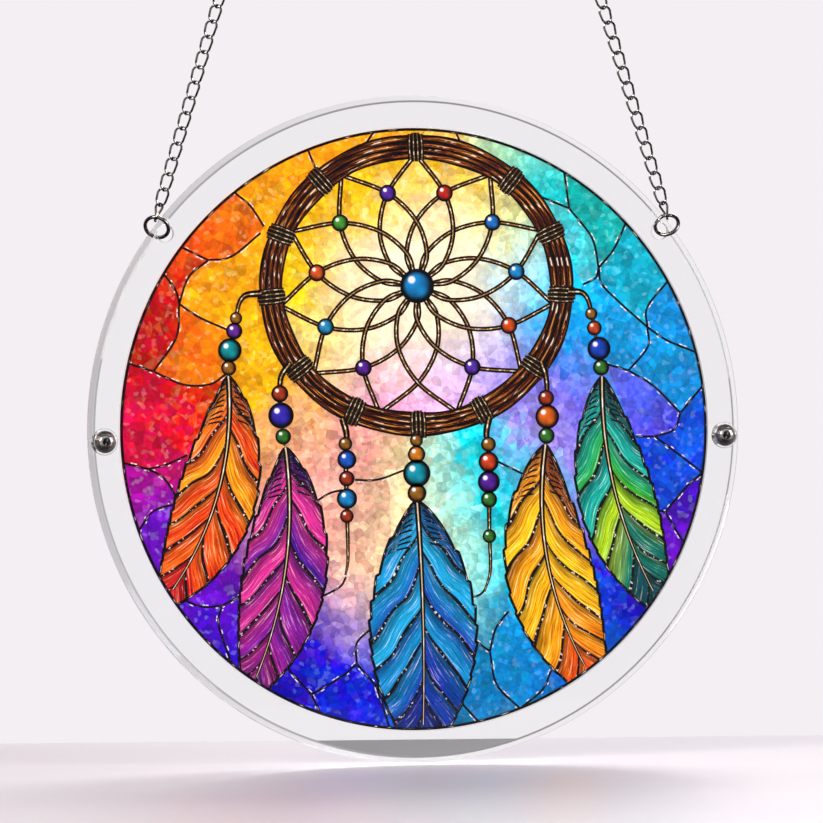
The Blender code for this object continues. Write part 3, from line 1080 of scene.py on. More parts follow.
@dataclass
class Hoop:
    """The picture's willow hoop: four twigs side by side, wrapped with cord at intervals.

    Attributes:
        centre: its centre.
        semi_axes: half its outer width and height.
        band: its width across the twigs.
        twigs: how many twigs.
        twig_width: width of one twig.
        wave: how far a twig sways to either side.
        steps: points along a twig.
        wrap_angles: where the cord wraps it, in degrees from +X.
        wrap_turns: turns of cord in each wrap.
        wrap_pitch: distance from turn to turn.
        wrap_overhang: how far a wrap reaches past the band on both sides.
        wrap_lean: how far its ends lean along the hoop.
        wrap_bow: how much shorter its outer turns are.
        wrap_fullness: half a turn's width, as a share of the distance from turn to turn.
    """

    centre: Point = (0.7, 42.9)
    semi_axes: Point = (48.4, 45.3)
    band: float = 7.3
    twigs: int = 4
    twig_width: float = 2.35
    wave: float = 0.22
    steps: int = 240
    wrap_angles: tuple[float, ...] = (90, 49, 22, -4, -36, -64, -90, -116, -144, 184, 158, 131)
    wrap_turns: int = 4
    wrap_pitch: float = 1.15
    wrap_overhang: float = 0.9
    wrap_lean: float = 0.12
    wrap_bow: float = 0.35
    wrap_fullness: float = 0.56

    def point(self, angle: float, inset: float) -> Point:
        """A point of the hoop at an angle in radians, a distance inside its outer edge."""
        return (self.centre[0] + (self.semi_axes[0] - inset) * math.cos(angle),
                self.centre[1] + (self.semi_axes[1] - inset) * math.sin(angle))

    def build(self) -> None:
        """Builds the twigs and their wraps."""
        twigs = Films("hoop_twigs")
        spacing = (self.band - self.twig_width) / (self.twigs - 1)
        for k in range(self.twigs):
            path = []
            for step in range(self.steps):
                angle = 2 * math.pi * step / self.steps
                sway = self.wave * math.sin((3 + k) * angle + 1.9 * k)
                path.append(self.point(angle, self.twig_width / 2 + spacing * k + sway))
            width = self.twig_width / 2

            def breadth(share: float, phase: float = 2.3 * k) -> float:
                """Half the twig's width at a share of its path."""
                return width * (1 + 0.14 * math.sin(22 * math.pi * share + phase))

            twigs.ribbon(path, breadth, Lift.TWIG + Lift.TWIG_STEP * ((k * 3) % self.twigs), closed=True)
        twigs.build(TWIG_INK.material())

        wraps = Films("hoop_wraps")
        for degrees in self.wrap_angles:
            angle = math.radians(degrees)
            inner, outer = (Vector(self.point(angle, inset)) for inset in (
                self.band + self.wrap_overhang, -self.wrap_overhang))
            across = (outer - inner).normalized()
            along = Vector((-across.y, across.x))
            for turn in range(self.wrap_turns):
                shift = (turn - (self.wrap_turns - 1) / 2) * self.wrap_pitch
                lean = self.wrap_lean * along
                bow = self.wrap_bow * abs(shift)
                path = [tuple(inner + along * shift + across * bow - lean),
                        tuple((inner + outer) / 2 + along * shift * 1.12),
                        tuple(outer + along * shift - across * bow + lean)]
                lift = Lift.WRAP + Lift.WRAP_STEP * (turn % 2)
                wraps.ribbon(smooth_path(path, 5), self.wrap_pitch * self.wrap_fullness, lift)
        wraps.build(WRAP_INK.material())


@dataclass
class Web:
    """The picture's web: two mirrored families of curved cords that cross in rings of petals.

    Attributes:
        hoop: the hoop that it is strung in.
        folds: cords in each family.
        radii: distances from the centre of a cord's knots, as shares of the first.
        half_steps: how far the cord has turned at each, in half steps between cords.
        first: the first distance, in millimetres.
        width: a cord's width.
        stone_radius: radius of the bead in the middle.
        bead_radius: radius of the beads at the outer crossings.
    """

    hoop: Hoop
    folds: int = 11
    radii: tuple[float, ...] = (1.03, 0.754, 0.508, 0.27, 0.10)
    half_steps: tuple[float, ...] = (0, 1, 2, 3, 3.2)
    first: float = 39.8
    width: float = 1.5
    stone_radius: float = 5.2
    bead_radius: float = 2.6
    stone_hue: str = "#1583c4"
    bead_hues: tuple[str, ...] = (
        "#5c2aa4", "#4a9a34", "#dc5820", "#2490c4", "#5c2498", "", "#5c30ac", "#dc5018", "#1f8cd0",
        "#1f70c4", "#c0281c")

    def squeeze(self, radius: float, angle: float) -> Point:
        """A point of the web, drawn as wide and as high as the hoop.

        Args:
            radius: its distance from the centre.
            angle: its angle, in radians.

        Returns:
            The point.
        """
        mean = (self.hoop.semi_axes[0] + self.hoop.semi_axes[1]) / 2
        return (self.hoop.centre[0] + radius * math.cos(angle) * self.hoop.semi_axes[0] / mean,
                self.hoop.centre[1] + radius * math.sin(angle) * self.hoop.semi_axes[1] / mean)

    def repeat_tree(self) -> NodeTree:
        """Builds the geometry tree that sets copies of a cord round the web's centre.

        Returns:
            The tree.
        """
        tree, given = geometry_tree("cords round a centre", {
            "Folds": "Int", "Squeeze": "Vector", "Centre": "Vector", "Finish": "Material"})
        add = partial(add_node, tree)
        points = add("GeometryNodePoints", {"Count": given.outputs["Folds"]})
        index = add("GeometryNodeInputIndex")
        share = add("Math", (index, given.outputs["Folds"]), operation="DIVIDE")
        turn = add("Math", (share, 2 * math.pi), operation="MULTIPLY")
        about = add("CombineXYZ", {"Y": turn})
        copies = add("GeometryNodeInstanceOnPoints", {
            "Points": points, "Instance": given.outputs["Geometry"], "Rotation": about})
        placed = add("GeometryNodeTransform", {
            "Geometry": copies, "Translation": given.outputs["Centre"], "Scale": given.outputs["Squeeze"]})
        end_tree(tree, placed, given)
        return tree

    def cords(self, tree: NodeTree, face: PrintFace, material: Material) -> Mesh:
        """Strings one face's cords.

        Args:
            tree: the tree that repeats a cord.
            face: the face of the printed disc.
            material: the cord's finish.

        Returns:
            The mesh of both families.
        """
        pair = Films("cord_pair")
        step = math.pi / self.folds
        for family, lift in ((1, Lift.WEB), (-1, Lift.WEB_OVER)):
            knots = [(r * self.first * math.cos(math.pi / 2 + family * h * step),
                      r * self.first * math.sin(math.pi / 2 + family * h * step))
                     for r, h in zip(self.radii, self.half_steps)]
            pair.ribbon(smooth_path(knots, 9), self.width / 2, lift)
        mesh = pair.mesh(face)
        mesh.transform(Matrix.Translation(-LAYOUT.centre))
        mean = (self.hoop.semi_axes[0] + self.hoop.semi_axes[1]) / 2
        values = {
            "Folds": self.folds,
            "Squeeze": (self.hoop.semi_axes[0] / mean, 1.0, self.hoop.semi_axes[1] / mean),
            "Centre": LAYOUT.centre + Vector((self.hoop.centre[0], 0, self.hoop.centre[1])) * MM,
            "Finish": material,
        }
        return evaluated("web", mesh, lambda holder: grow(holder, tree, values))

    def build(self) -> None:
        """Builds the cords and the beads on them."""
        material = CORD_INK.material()
        tree = self.repeat_tree()
        for face in PrintFace:
            cords = self.cords(tree, face, material)
            add_piece(f"web_cords_{face.name.lower()}", cords, material, Slot.PRINT)
        beads = Films("web_beads")
        for k, hue in enumerate(self.bead_hues):
            if hue:
                angle = math.pi / 2 + (2 * k + 1) * math.pi / self.folds
                spot = self.squeeze(self.radii[1] * self.first, angle)
                beads.bead(spot, self.bead_radius, linear(hue), Lift.BEAD)
        beads.bead(self.hoop.centre, self.stone_radius, linear(self.stone_hue), Lift.BEAD)
        beads.build(BeadInk().material())


@dataclass
class Feather:
    """One feather of the picture, hanging by its quill and cut off by the picture's edge.

    Attributes:
        name: its name.
        top: where the vane starts.
        tip: where it would end.
        width: its greatest width.
        bend: how far the shaft bows sideways, as a share of its length.
        hues: hex colours from the top to the tip.
        leans: how fast its barbs fall towards the tip, left and right.
        layer: 1 where it lies over a neighbour.
        fullness: raises or lowers where it is widest.
        rows: rows of faces along it.
        columns: faces across it.
        section_mm: how far apart the veins leave the shaft.
        tufts: dark strokes at the top of each side.
        tuft_reach: how far a tuft sticks out past the vane.
        tuft_fall: how far a tuft falls, as a share of the shaft.
        edge_gap: how far it ends inside the printed disc's edge.
        line_half_width: half the outline's width.
        quill_half_width: half the quill's width at its top.
        quill_steps: points along the whole shaft.
    """

    name: str
    top: Point
    tip: Point
    width: float
    bend: float
    hues: tuple[str, ...]
    leans: Point
    layer: int = 0
    fullness: float = 1.0
    rows: int = 120
    columns: int = 14
    section_mm: float = 11.0
    tufts: int = 8
    tuft_reach: float = 1.2
    tuft_fall: float = 0.06
    edge_gap: float = 0.5
    line_half_width: float = 0.42
    quill_half_width: float = 1.0
    quill_steps: int = 60

    def shaft(self, share: float) -> tuple[Vector, Vector]:
        """The shaft's place and its direction across, at a share of its length.

        Args:
            share: how far down the shaft.

        Returns:
            The place and the direction.
        """
        a, c = Vector(self.top), Vector(self.tip)
        b = (a + c) / 2 + Vector((-(c - a).y, (c - a).x)) * self.bend
        place = (1 - share) ** 2 * a + 2 * share * (1 - share) * b + share ** 2 * c
        along = (2 * (1 - share) * (b - a) + 2 * share * (c - b)).normalized()
        return place, Vector((-along.y, along.x))

    def half_width(self, share: float, sign: int) -> float:
        """Half the vane's width, with the stepped edge that barbs give it.

        Args:
            share: how far down the shaft.
            sign: the side of it.

        Returns:
            Half the width.
        """
        length = (Vector(self.tip) - Vector(self.top)).length
        smooth = self.width / 2 * math.sin(math.pi * min(share, 1.0) ** self.fullness) ** 0.72
        lean = self.leans[1 if sign > 0 else 0]
        lag = (share * length - lean * smooth ** 0.72) / (self.section_mm / 2) + 0.3 * sign
        return smooth * (1 - (0.035 + 0.1 * (1 - share) ** 3) * (lag % 1.0))

    def build(self) -> None:
        """Builds the vane, its outline, its tufts and its quill."""
        length = (Vector(self.tip) - Vector(self.top)).length
        edge = LAYOUT.print_radius / MM - self.edge_gap
        lift = Lift.FEATHER + Lift.FEATHER_STEP * self.layer
        vane, lines, quill = (Films(f"{self.name}_{part}") for part in ("vane", "outline", "quill"))
        grid, edges = [], {-1: [], 1: []}
        for row in range(self.rows + 1):
            share = row / self.rows
            place, across = self.shaft(share)
            numbers = []
            for column in range(self.columns + 1):
                v = 2 * column / self.columns - 1
                reach = v * self.half_width(share, 1 if v > 0 else -1)
                spot = place + across * reach
                spot *= min(1.0, edge / spot.length)
                numbers.append(vane.add_point(tuple(spot), lift, (share * length, reach)))
            grid.append(numbers)
            for sign in (-1, 1):
                spot = place + across * sign * self.half_width(share, sign)
                if spot.length < edge:
                    edges[sign].append(tuple(spot))
        for above, below in zip(grid[:-1], grid[1:]):
            for k in range(self.columns):
                corners = (above[k], above[k + 1], below[k + 1], below[k])
                if any(Vector(vane.points[c][:2]).length < edge - 0.01 for c in corners):
                    vane.faces.append(corners)
        for path in edges.values():
            lines.ribbon(path, self.line_half_width, lift + Lift.OUTLINE_STEP)
        for k in range(2 * self.tufts):
            sign, share = (1, -1)[k % 2], 0.012 + 0.011 * k
            place, across = self.shaft(share)
            reach = across * sign * (self.half_width(share, sign) + self.tuft_reach)
            down = (self.shaft(share + self.tuft_fall)[0] - place) * (0.7 + 0.25 * (k % 3))
            path = smooth_path([tuple(place + reach * 0.25), tuple(place + reach * 0.75 + down * 0.35),
                                tuple(place + reach + down)], 4)
            lines.ribbon(path, lambda s: 0.3 * (1 - s) + 0.04, lift + Lift.TUFT_STEP)
        spots = [self.shaft(k / self.quill_steps)[0] for k in range(self.quill_steps - 2)]
        inside = [tuple(spot) for spot in spots if spot.length < edge - 1]
        quill.ribbon(inside, lambda s: self.quill_half_width * (1 - 0.6 * s), lift + Lift.QUILL_STEP)
        words = self.name.replace("_", " ")
        ink = FeatherInk(f"printed {words}", length, self.hues, self.section_mm, self.leans)
        vane.build(ink.material())
        lines.build(OUTLINE_INK.material())
        quill.build(QUILL_INK.material())


@dataclass(frozen=True)
class Pendant:
    """A beaded string of the picture.

    Attributes:
        path: the cord's points, from the hoop down.
        beads: place, radius and hex colour of each bead.
    """

    path: tuple[Point, ...]
    beads: tuple[tuple[Point, float, str], ...]


@dataclass
class Pendants:
    """All beaded strings that hang from the hoop.

    Attributes:
        strings: the strings.
        cord_width: the cord's width.
        taper: how many times as wide the cord starts, and how much of that it loses by its end.
    """

    strings: tuple[Pendant, ...]
    cord_width: float = 1.5
    taper: Point = (1.5, 1.05)

    def build(self) -> None:
        """Builds the cords, then the beads over them."""
        cords, beads = Films("pendant_cords"), Films("pendant_beads")
        for string in self.strings:
            cords.ribbon(smooth_path(string.path, 8),
                         lambda share: self.cord_width / 2 * (self.taper[0] - self.taper[1] * share),
                         Lift.STRING)
            for place, radius, hue in string.beads:
                beads.bead(place, radius, linear(hue), Lift.BEAD)
        cords.build(CORD_INK.material())
        beads.build(BeadInk().material())


@dataclass
class ClearSheets:
    """The two clear acrylic sheets round the printed disc. A facet or bevel is given as width and depth."""

    sides: int = 288
    edge_wall: float = 0.3 * MM
    outer_facet: Point = (1.45 * MM, 0.2 * MM)
    inner_facet_width: float = 0.6 * MM
    back_floor: float = 0.7 * MM
    back_bevel: Point = (1.8 * MM, 0.5 * MM)
    edge_rounding: float = 0.12 * MM
    rounded_from: float = math.radians(40)

    def build(self, fastener: "Fastener", rings: Sequence["SideRing"], clear: Material) -> None:
        """Builds both sheets with their holes.

        Args:
            fastener: the screws, whose holes pass through.
            rings: the side rings, whose holes pass through.
            clear: the sheets' finish.
        """
        at, edge = LAYOUT, LAYOUT.disc_radius
        facet, pocket = edge - self.outer_facet[0], LAYOUT.print_radius + SEAT_GAP
        front = [
            (facet - self.inner_facet_width, at.sheet_front),
            (facet, at.sheet_joint - self.edge_wall - self.outer_facet[1]),
            (edge, at.sheet_joint - self.edge_wall), (edge, at.sheet_joint)]
        back = [
            (pocket, at.sheet_back - self.back_floor), (pocket, at.back_sheet_front),
            (edge, at.back_sheet_front), (edge, at.sheet_back - self.back_bevel[1]),
            (edge - self.back_bevel[0], at.sheet_back)]
        cutters = [fastener.bore_cutter(side) for side in Side] + [ring.hole_cutter() for ring in rings]

        def work(holder: Object) -> None:
            """Cuts the holes into a sheet and rounds its edges.

            Args:
                holder: the object that carries the sheet.
            """
            cut_away(holder, cutters)
            edges = holder.modifiers.new("edges", "BEVEL")
            edges.width = self.edge_rounding
            edges.segments = 2
            edges.limit_method = "ANGLE"
            edges.angle_limit = self.rounded_from

        for name, profile in (("front_sheet", front), ("back_sheet", back)):
            plain = turned(name, profile, self.sides, at.centre, closed=False)
            mesh = shaded(evaluated(name, plain, work), SHEET_EDGE_ANGLE)
            add_piece(f"clear_{name}", mesh, clear, Slot.CLEAR, [name])
        for cutter in cutters:
            bpy.data.objects.remove(cutter)


def hole_cutter(centre: Vector, radius: float, sides: int = 48) -> Object:
    """A guide for a round hole through both sheets, removed once the sheets are cut.

    Args:
        centre: a point of its axis.
        radius: its radius.
        sides: how many sides.

    Returns:
        The guide.
    """
    depth = LAYOUT.sheet_back - LAYOUT.sheet_front
    profile = [(radius, -depth), (radius, depth)]
    cutter = link("hole_guide", turned("hole_guide", profile, sides, centre, closed=False))
    cutter.hide_render = True
    return cutter


@dataclass
class Fastener:
    """The screws, clear washers, cup washers and nuts, left and right in the clear margin."""

    edge_distance: float = 4.7 * MM
    drop: float = 2.8 * MM
    shank_diameter: float = 2.5 * MM
    shank_clearance: float = 0.35 * MM
    head_diameter: float = 4.8 * MM
    head_height: float = 1.5 * MM
    recess_span: float = 3.0 * MM
    recess_slot: float = 0.62 * MM
    recess_depth: float = 0.8 * MM
    recess_turn: float = 0.35
    end_beyond_nut: float = 0.5 * MM
    thread_pitch: float = 0.45 * MM
    thread_depth: float = 0.16 * MM
    clear_washer_diameter: float = 8.0 * MM
    clear_washer_thickness: float = 0.7 * MM
    cup_diameter: float = 6.8 * MM
    cup_floor: float = 0.35 * MM
    cup_height: float = 0.8 * MM
    cup_rim: float = 0.55 * MM
    nut_across_flats: float = 5.0 * MM
    nut_thickness: float = 1.8 * MM
    sides: int = 64

    def centre(self, side: Side) -> Vector:
        """The screw's axis, as a point at the row's Y of nought."""
        x = side.value * (LAYOUT.disc_radius - self.edge_distance)
        return LAYOUT.centre + Vector((x, 0, -self.drop))

    @property
    def bore(self) -> float:
        """Radius of the holes that the shank passes through."""
        return self.shank_diameter / 2 + self.shank_clearance

    def bore_cutter(self, side: Side) -> Object:
        """A guide for the screw's hole."""
        return hole_cutter(self.centre(side), self.bore)

    def planes(self) -> dict[str, float]:
        """Places along Y of the stack's faces, from the clear washer forwards and from the nut back.

        Returns:
            A place for each face's name.
        """
        clear_back = LAYOUT.sheet_front - SEAT_GAP
        clear_front = clear_back - self.clear_washer_thickness
        cup_back = clear_front - SEAT_GAP
        head_base = cup_back - self.cup_floor - SEAT_GAP
        nut_front = LAYOUT.sheet_back + SEAT_GAP
        return {
            "clear_back": clear_back, "clear_front": clear_front, "cup_back": cup_back,
            "head_base": head_base, "head_top": head_base - self.head_height, "nut_front": nut_front,
            "nut_back": nut_front + self.nut_thickness,
            "screw_end": nut_front + self.nut_thickness + self.end_beyond_nut,
        }

    def screw(self, side: Side) -> Mesh:
        """Builds the screw: domed pan head, cross recess and threaded shank.

        Args:
            side: left or right.

        Returns:
            The mesh.
        """
        at = self.planes()
        head, shank = self.head_diameter / 2, self.shank_diameter / 2
        dome = []
        for k in range(9):
            turn = math.pi / 2 * k / 8
            dome.append((head * (0.42 + 0.58 * math.sin(turn) ** 0.9),
                         at["head_top"] + self.head_height * 0.72 * (1 - math.cos(turn))))
        profile = dome + [(head, at["head_base"] - 0.1 * MM), (head - 0.08 * MM, at["head_base"]),
                          (shank, at["head_base"])]
        y = at["head_base"] + 0.4 * MM
        while y < at["screw_end"] - self.thread_pitch:
            profile += [(shank, y), (shank - self.thread_depth, y + self.thread_pitch / 2)]
            y += self.thread_pitch
        profile += [(shank, y), (shank * 0.7, at["screw_end"])]
        mesh = turned("screw", profile, self.sides, self.centre(side), closed=False)
        cross = bmesh.new()
        loops = []
        for depth, share in ((-0.2 * MM, 1.12), (self.recess_depth, 0.62)):
            outline = []
            for quarter in range(4):
                turn = Matrix.Rotation(quarter * math.pi / 2 + self.recess_turn, 3, "Y")
                slot, span = self.recess_slot / 2, self.recess_span / 2 * share
                outline += [turn @ Vector(c) for c in (
                    (slot, 0, slot), (span, 0, slot * 0.8), (span, 0, -slot * 0.8))]
            sunk = Vector((0, at["head_top"] + depth, 0))
            loops.append([self.centre(side) + point + sunk for point in outline])
        skin(cross, loops, closed=False)
        cutter = link("recess_guide", to_mesh("recess_guide", cross))
        result = evaluated("screw", mesh, lambda holder: cut_away(holder, [cutter]))
        bpy.data.objects.remove(cutter)
        return shaded(result)

    def nut(self, side: Side) -> Mesh:
        """Builds the hexagon nut with its corners chamfered and its bore countersunk.

        Args:
            side: left or right.

        Returns:
            The mesh.
        """
        at = self.planes()
        bore = self.bore
        flat = self.nut_across_flats / 2
        rim, face, corner = bore * 1.12, flat * 0.97, flat * 1.155
        rows = ((bore, 0.0, 0.12), (rim, 0.0, 0.0), (face, 0.0, 0.0), (corner, 1.0, 0.16),
                (corner, 1.0, 0.84), (face, 0.0, 1.0), (rim, 0.0, 1.0), (bore, 0.0, 0.88))
        bm, loops, sides = bmesh.new(), [], 48
        for radius, is_hexagon, share in rows:
            loop = []
            for k in range(sides):
                turn = 2 * math.pi * k / sides
                hexagon = flat / math.cos(turn % (math.pi / 3) - math.pi / 6)
                reach = min(hexagon, radius) if is_hexagon else radius
                y = at["nut_front"] + share * self.nut_thickness
                loop.append(self.centre(side) + Vector((reach * math.cos(turn), y, reach * math.sin(turn))))
            loops.append(loop)
        skin(bm, loops, closed=True)
        return to_mesh("nut", bm)

    def build(self, steel: Material, clear: Material) -> None:
        """Builds both sides' screw, washers and nut.

        Args:
            steel: finish of the metal pieces.
            clear: finish of the clear washers.
        """
        at, bore = self.planes(), self.bore
        for side in Side:
            word, centre = side.name.lower(), self.centre(side)
            add_piece(f"pan_screw_{word}", self.screw(side), steel, Slot.STEEL, [f"screw_{word}"])
            add_piece(f"hex_nut_{word}", self.nut(side), steel, Slot.STEEL, [f"nut_{word}"])
            washer = self.clear_washer_diameter / 2
            profile = rounded([(bore, at["clear_back"]), (washer, at["clear_back"]),
                               (washer, at["clear_front"]), (bore, at["clear_front"])], 0.2 * MM)
            add_piece(f"soft_washer_{word}", turned("washer", profile, self.sides, centre, closed=True),
                      clear, Slot.CLEAR, [f"clear_washer_{word}"])
            cup = self.cup_diameter / 2
            rim_y, floor_y = at["cup_back"] - self.cup_height, at["cup_back"] - self.cup_floor
            profile = rounded([
                (bore, at["cup_back"]), (cup, at["cup_back"]), (cup - 0.1 * MM, rim_y),
                (cup - self.cup_rim, rim_y), (cup - self.cup_rim - 0.1 * MM, floor_y), (bore, floor_y)],
                0.14 * MM)
            add_piece(f"metal_cup_{word}", turned("cup", profile, self.sides, centre, closed=True),
                      steel, Slot.STEEL, [f"cup_washer_{word}"])


def wire_ring(centre: Vector, first: Vector, second: Vector, radius: float, wire: float,
              start: float = 0.0, stop: float = 2 * math.pi, rise: float = 0.0) -> Mesh:
    """A round wire bent into a ring or a coil.

    Args:
        centre: the ring's centre.
        first: a direction of its plane.
        second: the direction square to it in the plane.
        radius: radius of the wire's middle line.
        wire: the wire's diameter.
        start: angle of its first end.
        stop: angle of its last end.
        rise: how far it climbs in all, square to the plane.

    Returns:
        The mesh, closed at both ends.
    """
    normal = first.cross(second)
    steps = max(RING_STEPS // 3, int(RING_STEPS * (stop - start) / (2 * math.pi)))
    closed = stop - start > 2 * math.pi - 1e-6 and rise == 0.0
    bm, loops = bmesh.new(), []
    for k in range(steps if closed else steps + 1):
        share = k / steps
        angle = start + share * (stop - start)
        out = math.cos(angle) * first + math.sin(angle) * second
        middle = centre + out * radius + normal * rise * (share - 0.5)
        loops.append([middle + out * (wire / 2 * c) + normal * (wire / 2 * s)
                      for c, s in spokes(WIRE_SIDES)])
    skin(bm, loops, closed)
    return to_mesh("ring", bm)


@dataclass
class SideRing:
    """A jump ring through the disc's edge, with a slit where it was closed."""

    side: Side
    outer_diameter: float = 8.4 * MM
    wire: float = 1.2 * MM
    height_angle: float = math.radians(37.8)
    tilt: float = math.radians(44)
    inset_in_hole: float = 0.6 * MM
    edge_bar: float = 1.1 * MM
    hole_clearance: float = 0.44 * MM
    contact_angle: float = math.radians(52)
    slit: float = math.radians(1.6)
    slit_place: float = math.radians(128)

    @property
    def radius(self) -> float:
        """Radius of the wire's middle line."""
        return (self.outer_diameter - self.wire) / 2

    def hole_radius(self) -> float:
        """Radius of the hole that the leaning wire passes through."""
        thickness = LAYOUT.sheet_back - LAYOUT.sheet_front
        return (thickness / math.tan(self.tilt) + self.wire / math.sin(self.tilt)) / 2 + self.hole_clearance

    def directions(self) -> tuple[Vector, Vector]:
        """The ring's plane: outwards from the disc, and across.

        Returns:
            Both directions, as unit vectors.
        """
        sign = self.side.value
        rise, run = math.sin(self.height_angle), math.cos(self.height_angle)
        outward, along = Vector((sign * run, 0, rise)), Vector((-sign * rise, 0, run))
        return outward, math.cos(self.tilt) * along + math.sin(self.tilt) * Vector((0, sign, 0))

    def centre(self) -> Vector:
        """The ring's centre."""
        return box_centre(f"side_ring_{self.side.name.lower()}")

    def contact(self) -> tuple[Vector, Vector]:
        """The wire's middle where the chain bears on it, and the wire's direction there.

        Returns:
            The place and the direction.
        """
        outward, across = self.directions()
        cosine, sine = math.cos(self.contact_angle), math.sin(self.contact_angle)
        place = self.centre() + self.radius * (cosine * outward + sine * across)
        return place, cosine * across - sine * outward

    def hole_cutter(self) -> Object:
        """A guide for the ring's hole in the sheets.

        Returns:
            The guide.
        """
        outward, _ = self.directions()
        radius = LAYOUT.disc_radius - self.edge_bar - self.hole_radius()
        return hole_cutter(LAYOUT.centre + radius * outward, self.hole_radius())

    def build(self, steel: Material) -> None:
        """Builds the ring.

        Args:
            steel: the ring's finish.
        """
        outward, across = self.directions()
        word = self.side.name.lower()
        mesh = wire_ring(self.centre(), outward, across, self.radius, self.wire * 0.98,
                         self.slit_place + self.slit, self.slit_place + 2 * math.pi - self.slit)
        add_piece(f"jump_ring_{word}", mesh, steel, Slot.STEEL, [f"side_ring_{word}"])


@dataclass
class HangingRing:
    """The ring at the top that a hook carries."""

    outer_diameter: float = 15 * MM
    wire: float = 1.6 * MM
    slit: float = math.radians(1.2)
    slit_place: float = math.radians(20)

    def centre(self) -> Vector:
        """The ring's centre."""
        return box_centre("hanging_ring")

    def build(self, steel: Material) -> None:
        """Builds the ring.

        Args:
            steel: the ring's finish.
        """
        mesh = wire_ring(self.centre(), Vector((0, 0, 1)), Vector((1, 0, 0)),
                         (self.outer_diameter - self.wire) / 2, self.wire,
                         self.slit_place + self.slit, self.slit_place + 2 * math.pi - self.slit)
        add_piece("top_ring", mesh, steel, Slot.STEEL, ["hanging_ring"])


@dataclass
class Chain:
    """The twisted curb chain, with as many links in each half."""

    links: int = 56
    length: float = 6.25 * MM
    width: float = 3.96 * MM
    wire: float = 0.75 * MM
    turn: float = math.radians(45)
    arc_steps: int = 7
    wire_sides: int = 6

    @property
    def pitch(self) -> float:
        """Distance from link to link."""
        return self.length - 2 * self.wire

    def link(self, bottom_turn: float, top_turn: float) -> Mesh:
        """One round-ended link, twisted from its lower end to its upper one.

        Args:
            bottom_turn: the lower end's turn about the chain's line.
            top_turn: the upper end's.

        Returns:
            The link, with its lower contact at the origin and its length along Z.
        """
        half, side = (self.length - self.wire) / 2, (self.width - self.wire) / 2
        outline = []
        for end in (1, -1):
            for k in range(self.arc_steps + 1):
                angle = math.pi * k / self.arc_steps
                outline.append((end * side * math.cos(angle), end * (half - side + side * math.sin(angle))))
        middle = []
        for x, z in outline:
            share = (z + half) / (2 * half)
            twist = Matrix.Rotation(bottom_turn + share * (top_turn - bottom_turn), 3, "Z")
            middle.append((twist @ Vector((x, 0, z + self.pitch / 2)), twist @ Vector((0, 1, 0))))
        loops = []
        for k, (place, thick) in enumerate(middle):
            along = (middle[(k + 1) % len(middle)][0] - middle[k - 1][0]).normalized()
            thick = (thick - thick.dot(along) * along).normalized()
            wide = along.cross(thick)
            loops.append([place + self.wire / 2 * (c * wide + s * thick)
                          for c, s in spokes(self.wire_sides)])
        bm = bmesh.new()
        skin(bm, loops, closed=True)
        return to_mesh("link", bm)

    def run_tree(self) -> NodeTree:
        """Builds the geometry tree that threads copies of a link in a straight run.

        Returns:
            The tree.
        """
        tree, given = geometry_tree("run of links", {
            "Links": "Int", "First": "Vector", "Step": "Vector", "Finish": "Material"})
        add = partial(add_node, tree)
        line = add("GeometryNodeMeshLine", {
            "Count": given.outputs["Links"], "Start Location": given.outputs["First"],
            "Offset": given.outputs["Step"]}, mode="OFFSET")
        copies = add("GeometryNodeInstanceOnPoints", {"Points": line, "Instance": given.outputs["Geometry"]})
        end_tree(tree, copies, given)
        return tree

    def build(self, rings: Sequence[SideRing], top: HangingRing, steel: Material) -> None:
        """Builds both halves.

        Args:
            rings: the side rings that the halves start from.
            top: the ring that they end in.
            steel: the links' finish.
        """
        tree = self.run_tree()
        for ring in rings:
            word = ring.side.name.lower()
            start, wire = ring.contact()
            axis = (top.centre() - start).normalized()
            across = Vector((1, 0, 0))
            across = (across - across.dot(axis) * axis).normalized() * ring.side.value
            turned_frame = Matrix((across, axis.cross(across), axis)).transposed()
            wire = turned_frame.inverted() @ wire
            square = (math.atan2(wire.y, wire.x) + math.pi / 2) % math.pi
            step = (0, 0, self.pitch)
            values = {"Links": self.links - 2, "First": step, "Step": step, "Finish": steel}
            middle = self.link(self.turn, -self.turn)
            run = evaluated("run", middle, lambda holder: grow(holder, tree, values))
            first = self.link(square, math.pi - self.turn)
            last = self.link(self.turn, math.pi / 2)
            last.transform(Matrix.Translation((0, 0, (self.links - 1) * self.pitch)))
            bm = bmesh.new()
            for part in (first, run, last):
                bm.from_mesh(part)
            mesh = to_mesh("chain", bm, recalculate=False)
            place = Matrix.Translation(start - (ring.wire / 2 + SEAT_GAP) * axis) @ turned_frame.to_4x4()
            mesh.transform(place)
            add_piece(f"curb_chain_{word}", mesh, steel, Slot.STEEL, [f"chain_{word}"])


